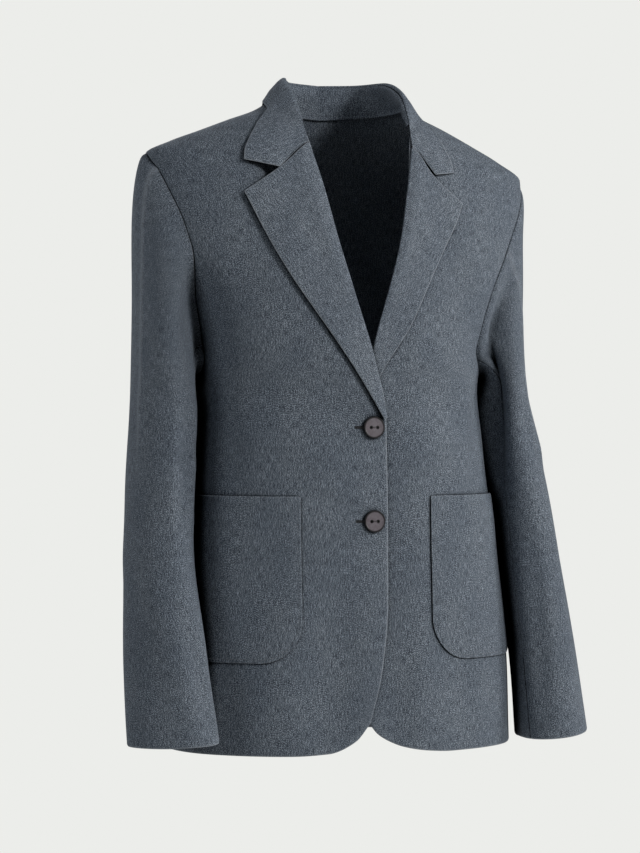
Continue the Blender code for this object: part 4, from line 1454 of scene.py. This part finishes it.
def sleeve_rows(side):
    """All the sections of a sleeve, from the cuff up to the armhole."""
    loop = armhole_loop(side)[0]
    turns = np.radians(np.linspace(-90, 270, len(loop)))
    table = SLEEVES[side]
    first = sleeve_ring(side, table[0, 0], turns)
    second = sleeve_ring(side, table[0, 0] - 0.02, turns)
    down = (first - second) / 0.02
    outer = 0.5 + 0.5 * np.sin(turns)
    reach = CAP_REACH_UNDER + (CAP_REACH_TOP[side] - CAP_REACH_UNDER) * outer
    lead = loop + reach[:, None] * np.array([side, 0, HEAD_RISE])
    length = np.linalg.norm(first - loop, axis=1)[:, None]
    arrive = first + down * (0.25 + 0.25 * outer[:, None]) * length
    rows = []
    for t in np.linspace(0, 1, SLEEVE_UPPER_ROWS + 1) ** HEAD_CROWD:
        s = 1 - t
        rows.append(s**3 * loop + 3 * s * s * t * lead + 3 * s * t * t * arrive + t**3 * first)
    for height in np.linspace(table[0, 0], table[-1, 0], SLEEVE_LOWER_ROWS + 1)[1:]:
        rows.append(sleeve_ring(side, height, turns))
    return np.array(rows)[::-1]


# %% Folded sleeves
def ring_normals(rows, side):
    """Normals of a closed tube, with no break where its last column meets the first."""
    ring = np.concatenate([rows[:, -2:-1], rows[:, :-1], rows[:, :2]], axis=1)
    return grid_normals(ring)[:, 1:-1] * side


def folded_sleeve(side):
    """The sleeve's sections with their folds and the pressed line down the outside."""
    rows = sleeve_rows(side)
    normals = ring_normals(rows, side)
    turns = np.radians(np.linspace(-90, 270, rows.shape[1]))[None]
    from_top = np.linalg.norm(rows - rows[-1:], axis=-1)
    held = smooth_step(from_top, *HEAD_HELD)
    across = np.broadcast_to(turns * SLEEVE_ROUND, rows.shape[:2])
    rise = fold_height(SLEEVE_FOLDS[side], across, rows[..., 2]) * held
    columns = np.arange(rows.shape[1])[None]
    line = np.exp(-((columns - PRESS_LINE[side]) / RIDGE_HALF) ** 2)
    rise = rise + PRESS_HEIGHT * line * smooth_step(rows[..., 2], *RIDGE_FROM)
    rise[:, -1] = rise[:, 0]
    rows = np.concatenate([rows + normals * rise[..., None], armhole_loop(side)[1:]])
    return rows, ring_normals(rows, side)


def narrowed(points, vent_edge):
    """A part of a sleeve drawn in at both seams; below the vent's top its slit is wider."""
    points = points.copy()
    rise = points[..., 2] - points[0, :, 2].min()
    for edge, inside in ((0, 1), (-1, -2)):
        slit = (edge == vent_edge) & (rise[:, edge] < VENT_LENGTH)
        gap = np.where(slit, VENT_GAP, SEAM_GAP) / 2
        points[:, edge] += unit(points[:, inside] - points[:, edge]) * gap[:, None]
    return points


# %% Sleeves
sleeves = {}
for side, word in ((RIGHT, "right"), (LEFT, "left")):
    rows, normals = folded_sleeve(side)
    around = np.concatenate([rows[:, :-1], rows[:, :FORE_SEAM + 1]], axis=1)
    facing_out = np.concatenate([normals[:, :-1], normals[:, :FORE_SEAM + 1]], axis=1)
    last_column = rows.shape[1] - 1
    columns = np.arange(around.shape[1])
    # Painted highlight along the pressed line, and on the right sleeve's head
    painted_highlight = np.exp(-((columns - PRESS_LINE[side]) / SHINE_HALF) ** 2)
    painted_highlight = PRESS_SHINE[side] * painted_highlight * smooth_step(around[..., 2], *SHINE_FROM)
    if side == RIGHT:
        painted_highlight[-3] = smooth_step(around[-3, :, 2], *HEAD_SHINE)
    parts = (("top_sleeve", FORE_SEAM, HIND_SEAM, 0),
             ("under_sleeve", HIND_SEAM, last_column + FORE_SEAM, -1))
    for part, first, last, vent_edge in parts:
        columns = slice(first, last + 1)
        grain = walked_grain(around, (first + last) // 2)
        points = narrowed(around[:, columns], vent_edge)
        sleeves[part, side] = cloth_shell(f"{word}_{part}_cloth", f"{part}_{word}", points,
                                          facing_out[:, columns], grain[:, columns], ("bottom",),
                                          glow=painted_highlight[:, columns])

# %% [markdown]
# ## Buttons
#
# The buttons are moulded resin with a satin face, a turned rim and two holes. The frame's
# own buttons have the right shape, so they only get a better material: a ring pattern round
# each button's centre that darkens towards the rim, and painted shade round each hole. Two
# short bars of thread cross between the holes.

# %% Button resin
BUTTON_HEIGHTS = {"button_upper": -0.361, "button_lower": -0.460}
BUTTON_RADIUS = 0.0118
# Depth of the dish, where the thread bars lie
BUTTON_DISH = 0.0007
BUTTON_HOLE_SPACING = 0.0070
# Radius of the shade round each hole
HOLE_RING = 0.0021


def vector_node(tree, operation, first, second=None):
    node = add(tree, "ShaderNodeVectorMath", {"operation": operation})
    tree.links.new(first, node.inputs[0])
    if second is not None:
        node.inputs[1].default_value = second
    return node


def make_resin(name, centre):
    material, tree, shader = new_material(name, {"Roughness": 0.42, "IOR": 1.5})
    place = add(tree, "ShaderNodeTexCoord").outputs["Object"]
    centred = add(tree, "ShaderNodeMapping", {"Location": tuple(-c for c in centre)},
                  Vector=place).outputs["Vector"]
    level = vector_node(tree, "MULTIPLY", centred, (1, 0, 1)).outputs[0]
    radius = vector_node(tree, "LENGTH", level).outputs["Value"]
    share = math_node(tree, "DIVIDE", radius, BUTTON_RADIUS)
    face = ramp(tree, share, [(0.0, "#7a757b"), (1.0, "#151315"), (0.80, "#757076"),
                              (0.88, "#1f1c1e")])
    marbled = add(tree, "ShaderNodeTexNoise", {"Scale": 260.0, "Detail": 3.0,
                                               "Distortion": 1.2}, Vector=place)
    cloudy = ramp(tree, marbled.outputs["Fac"], [(0.3, "#d9d2d4"), (0.7, "#ffffff")])
    # Painted shade in and round each hole
    either = vector_node(tree, "ABSOLUTE", level).outputs[0]
    from_hole = vector_node(tree, "DISTANCE", either, (BUTTON_HOLE_SPACING / 2, 0, 0))
    share = math_node(tree, "DIVIDE", from_hole.outputs["Value"], HOLE_RING)
    ring = ramp(tree, share, [(0.8, "#131214"), (1.0, "#ffffff")])
    colour = mix(tree, "MULTIPLY", 1.0, mix(tree, "MULTIPLY", 1.0, face, cloudy), ring)
    tree.links.new(colour, shader.inputs["Base Color"])
    return material


# %% Buttons
buttons = {}
for name in BUTTON_HEIGHTS:
    low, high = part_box(name)
    centre = [(a + b) / 2 for a, b in zip(low, high)]
    buttons[name] = (centre, low[1])
    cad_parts[name].data.materials.clear()
    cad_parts[name].data.materials.append(make_resin(f"cast_resin_{name}", centre))
    print(name, [round(c, 4) for c in centre])

# %% [markdown]
# ## Thread
#
# Thread bars, buttonholes and the pocket stitching are all small rounded lengths of the same
# polyester thread. One function lays a stitch between two points as a thin tapered tube, and
# all the stitches of one seam become a single piece. Thread of 0.3 mm is drawn at 0.5 mm.

# %% Thread
# Radius of the drawn thread
THREAD = 0.00025


def make_thread(name, colour):
    material, tree, shader = new_material(name, {"Roughness": 0.6, "Sheen Weight": 0.2})
    place = add(tree, "ShaderNodeTexCoord").outputs["Object"]
    twist = add(tree, "ShaderNodeTexNoise", {"Scale": 2500.0, "Detail": 1.0}, Vector=place)
    shade = ramp(tree, twist.outputs["Fac"], [(0.3, "#b9b9b9"), (0.7, "#ffffff")])
    tree.links.new(mix(tree, "MULTIPLY", 1.0, linear(colour), shade),
                   shader.inputs["Base Color"])
    return material


# The button thread also colours the buttonhole slits, where its dark tube is painted shade
button_thread_and_slit_shade = make_thread("button_thread_and_slit_shade", "#2b282b")
seam_thread = make_thread("seam_thread", "#747b84")
hole_thread = make_thread("buttonhole_thread", "#33373d")
print("thread:", THREAD * 2000, "mm thick")

# %% Stitches
TUBE_SIDES = 6
# A stitch's rings: share of the way and size, pinched at both ends
STITCH_RINGS = ((0.0, 0.35), (0.15, 0.9), (0.5, 1.0), (0.85, 0.9), (1.0, 0.35))
STITCH_RISE = 0.6


def stitch_piece(name, stitches, radius, material):
    """Stitches as (start, end, outward) in one mesh, each a thin tube with pinched ends."""
    points, faces = [], []
    for start, end, outward in stitches:
        start, end, outward = (np.asarray(v, float) for v in (start, end, outward))
        along = unit(end - start)
        side = unit(np.cross(along, outward))
        first = len(points)
        for share, size in STITCH_RINGS:
            middle = start + (end - start) * share + outward * radius * STITCH_RISE * size
            for k in range(TUBE_SIDES):
                turn = math.tau * k / TUBE_SIDES
                points.append(middle + radius * size * (side * math.cos(turn)
                                                        + outward * math.sin(turn)))
        for ring in range(len(STITCH_RINGS) - 1):
            for k in range(TUBE_SIDES):
                low = first + ring * TUBE_SIDES
                a, b = low + k, low + (k + 1) % TUBE_SIDES
                faces.append((a, a + TUBE_SIDES, b + TUBE_SIDES, b))
        faces.append([first + k for k in range(TUBE_SIDES)])
        faces.append([len(points) - 1 - k for k in range(TUBE_SIDES)])
    mesh = bpy.data.meshes.new(name)
    mesh.from_pydata([tuple(p) for p in points], [], faces)
    form = bmesh.new()
    form.from_mesh(mesh)
    bmesh.ops.recalc_face_normals(form, faces=form.faces)
    form.to_mesh(mesh)
    form.free()
    mesh.shade_smooth()
    mesh.materials.append(material)
    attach(new_object(name, mesh), "root")
    print(f"{name}: {len(stitches)} stitches")


# %% Thread bars
# The two bars over a button lie this far above and below its middle
BAR_STEP = 0.0005
for name, (centre, front_y) in buttons.items():
    face_y = front_y + BUTTON_DISH
    bars = []
    for step in (-BAR_STEP, BAR_STEP):
        ends = [(side * BUTTON_HOLE_SPACING / 2, face_y, centre[2] + step) for side in (-1, 1)]
        bars.append((ends[0], ends[1], (0, -1, 0)))
    stitch_piece(f"{name}_thread_bar", bars, THREAD, button_thread_and_slit_shade)

# %% [markdown]
# ## Buttonholes and pocket stitches
#
# A buttonhole is a slit with a dense row of purl stitches down both sides and a bar at the
# end. The button covers the half nearest the front edge; the rest shows beside it.
# Pocket stitches are 3 mm long with a short gap, in the groove.

# %% Buttonholes
HOLE_LENGTH = 0.0170
HOLE_START = 0.0020
HOLE_HALF = 0.00025
SLIT_RADIUS = 0.00035
PURL_PITCH = 0.0007
PURL_WIDTH = 0.0013
# The bar at the hole's end: half its height, and the places of its two stitches
END_BAR = 0.0014
END_STEPS = (0.0004, 0.0009)


def on_front(distance, height):
    """A place on the right front, this far from the centre, and the normal there."""
    grid = np.stack([angle_at(np.array([distance]), np.array([height])),
                     np.array([height])], axis=-1)
    points, normals = front_place(RIGHT, grid)
    return points[0], normals[0]


def make_buttonhole(name, height):
    purls = []
    count = int(HOLE_LENGTH / PURL_PITCH)
    for k in range(count + 1):
        out = HOLE_START + HOLE_LENGTH * k / count
        for up in (-1, 1):
            inner, normal = on_front(out, height + up * HOLE_HALF)
            outer, _ = on_front(out, height + up * (HOLE_HALF + PURL_WIDTH))
            purls.append((inner, outer, normal))
    for step in END_STEPS:
        out = HOLE_START + HOLE_LENGTH + step
        low, normal = on_front(out, height - END_BAR)
        high, _ = on_front(out, height + END_BAR)
        purls.append((low, high, normal))
    stitch_piece(f"{name}_hole_stitches", purls, THREAD * 1.1, hole_thread)
    # The slit is a thin dark tube of button thread: painted shade standing in for the gap of the
    # cut
    start, normal = on_front(HOLE_START, height)
    finish, _ = on_front(HOLE_START + HOLE_LENGTH, height)
    stitch_piece(f"{name}_hole_slit_shade", [(start, finish, normal)], SLIT_RADIUS, button_thread_and_slit_shade)


for name, height in BUTTON_HEIGHTS.items():
    make_buttonhole(name, height)

# %% Pocket stitches
STITCH_PITCH = 0.0036
STITCH_LENGTH = 0.0028
STITCH_TOP = 0.002


def pocket_stitch_line():
    """The stitching's path in the pocket's flat shape, down one side and up the other."""
    inset, radius = STITCH_INSET, POCKET_CORNER - STITCH_INSET
    line = [(inset, POCKET_TOP - STITCH_TOP)]
    middle = (POCKET_CORNER, POCKET_BOTTOM + POCKET_CORNER)
    for turn in np.radians(np.linspace(180, 270, 24)):
        line.append((middle[0] + radius * math.cos(turn), middle[1] + radius * math.sin(turn)))
    line = np.array(line)
    return np.concatenate([line, (line * (-1, 1) + (POCKET_WIDTH, 0))[::-1]])


line = pocket_stitch_line()
lengths = walked(line, 0)
starts = np.arange(0.001, lengths[-1] - STITCH_LENGTH, STITCH_PITCH)


def place_on_line(distance):
    return np.column_stack([np.interp(distance, lengths, line[:, c]) for c in (0, 1)])


for side, word in ((RIGHT, "right"), (LEFT, "left")):
    lift = POCKET_LIFT - GROOVE
    heads, normals = pocket_place(side, place_on_line(starts), lift)
    tails, _ = pocket_place(side, place_on_line(starts + STITCH_LENGTH), lift)
    stitch_piece(f"{word}_pocket_stitches", list(zip(heads, tails, normals)), THREAD,
                 seam_thread)

# %% [markdown]
# ## The cut
#
# The garment hangs from the shoulders in its worn shape. Each piece printed its area as it
# was made, from the lengths walked along its outer face, in metres: about half that of the
# closed shell. Here the face areas of every piece of cloth are read once more.

# %% Face areas of the pieces
SHEETS = [*fronts.values(), back, *sleeves.values(), fall, stand, *lapels.values(),
          *pockets.values()]
for piece in SHEETS:
    sizes = np.empty(len(piece.data.polygons))
    piece.data.polygons.foreach_get("area", sizes)

# %% [markdown]
#
# The blazer is meant to fill the frame it was built on. The bounds before and after are
# gathered and printed, so that the two can be compared.

# %% Bounds
low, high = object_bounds()
sizes = {"before": [[float(v) for v in frame_low], [float(v) for v in frame_high]],
         "after": [[float(v) for v in low], [float(v) for v in high]]}
print("bounds before", [round(float(v), 4) for v in (*frame_low, *frame_high)])
print("bounds after ", [round(float(v), 4) for v in (*low, *high)])
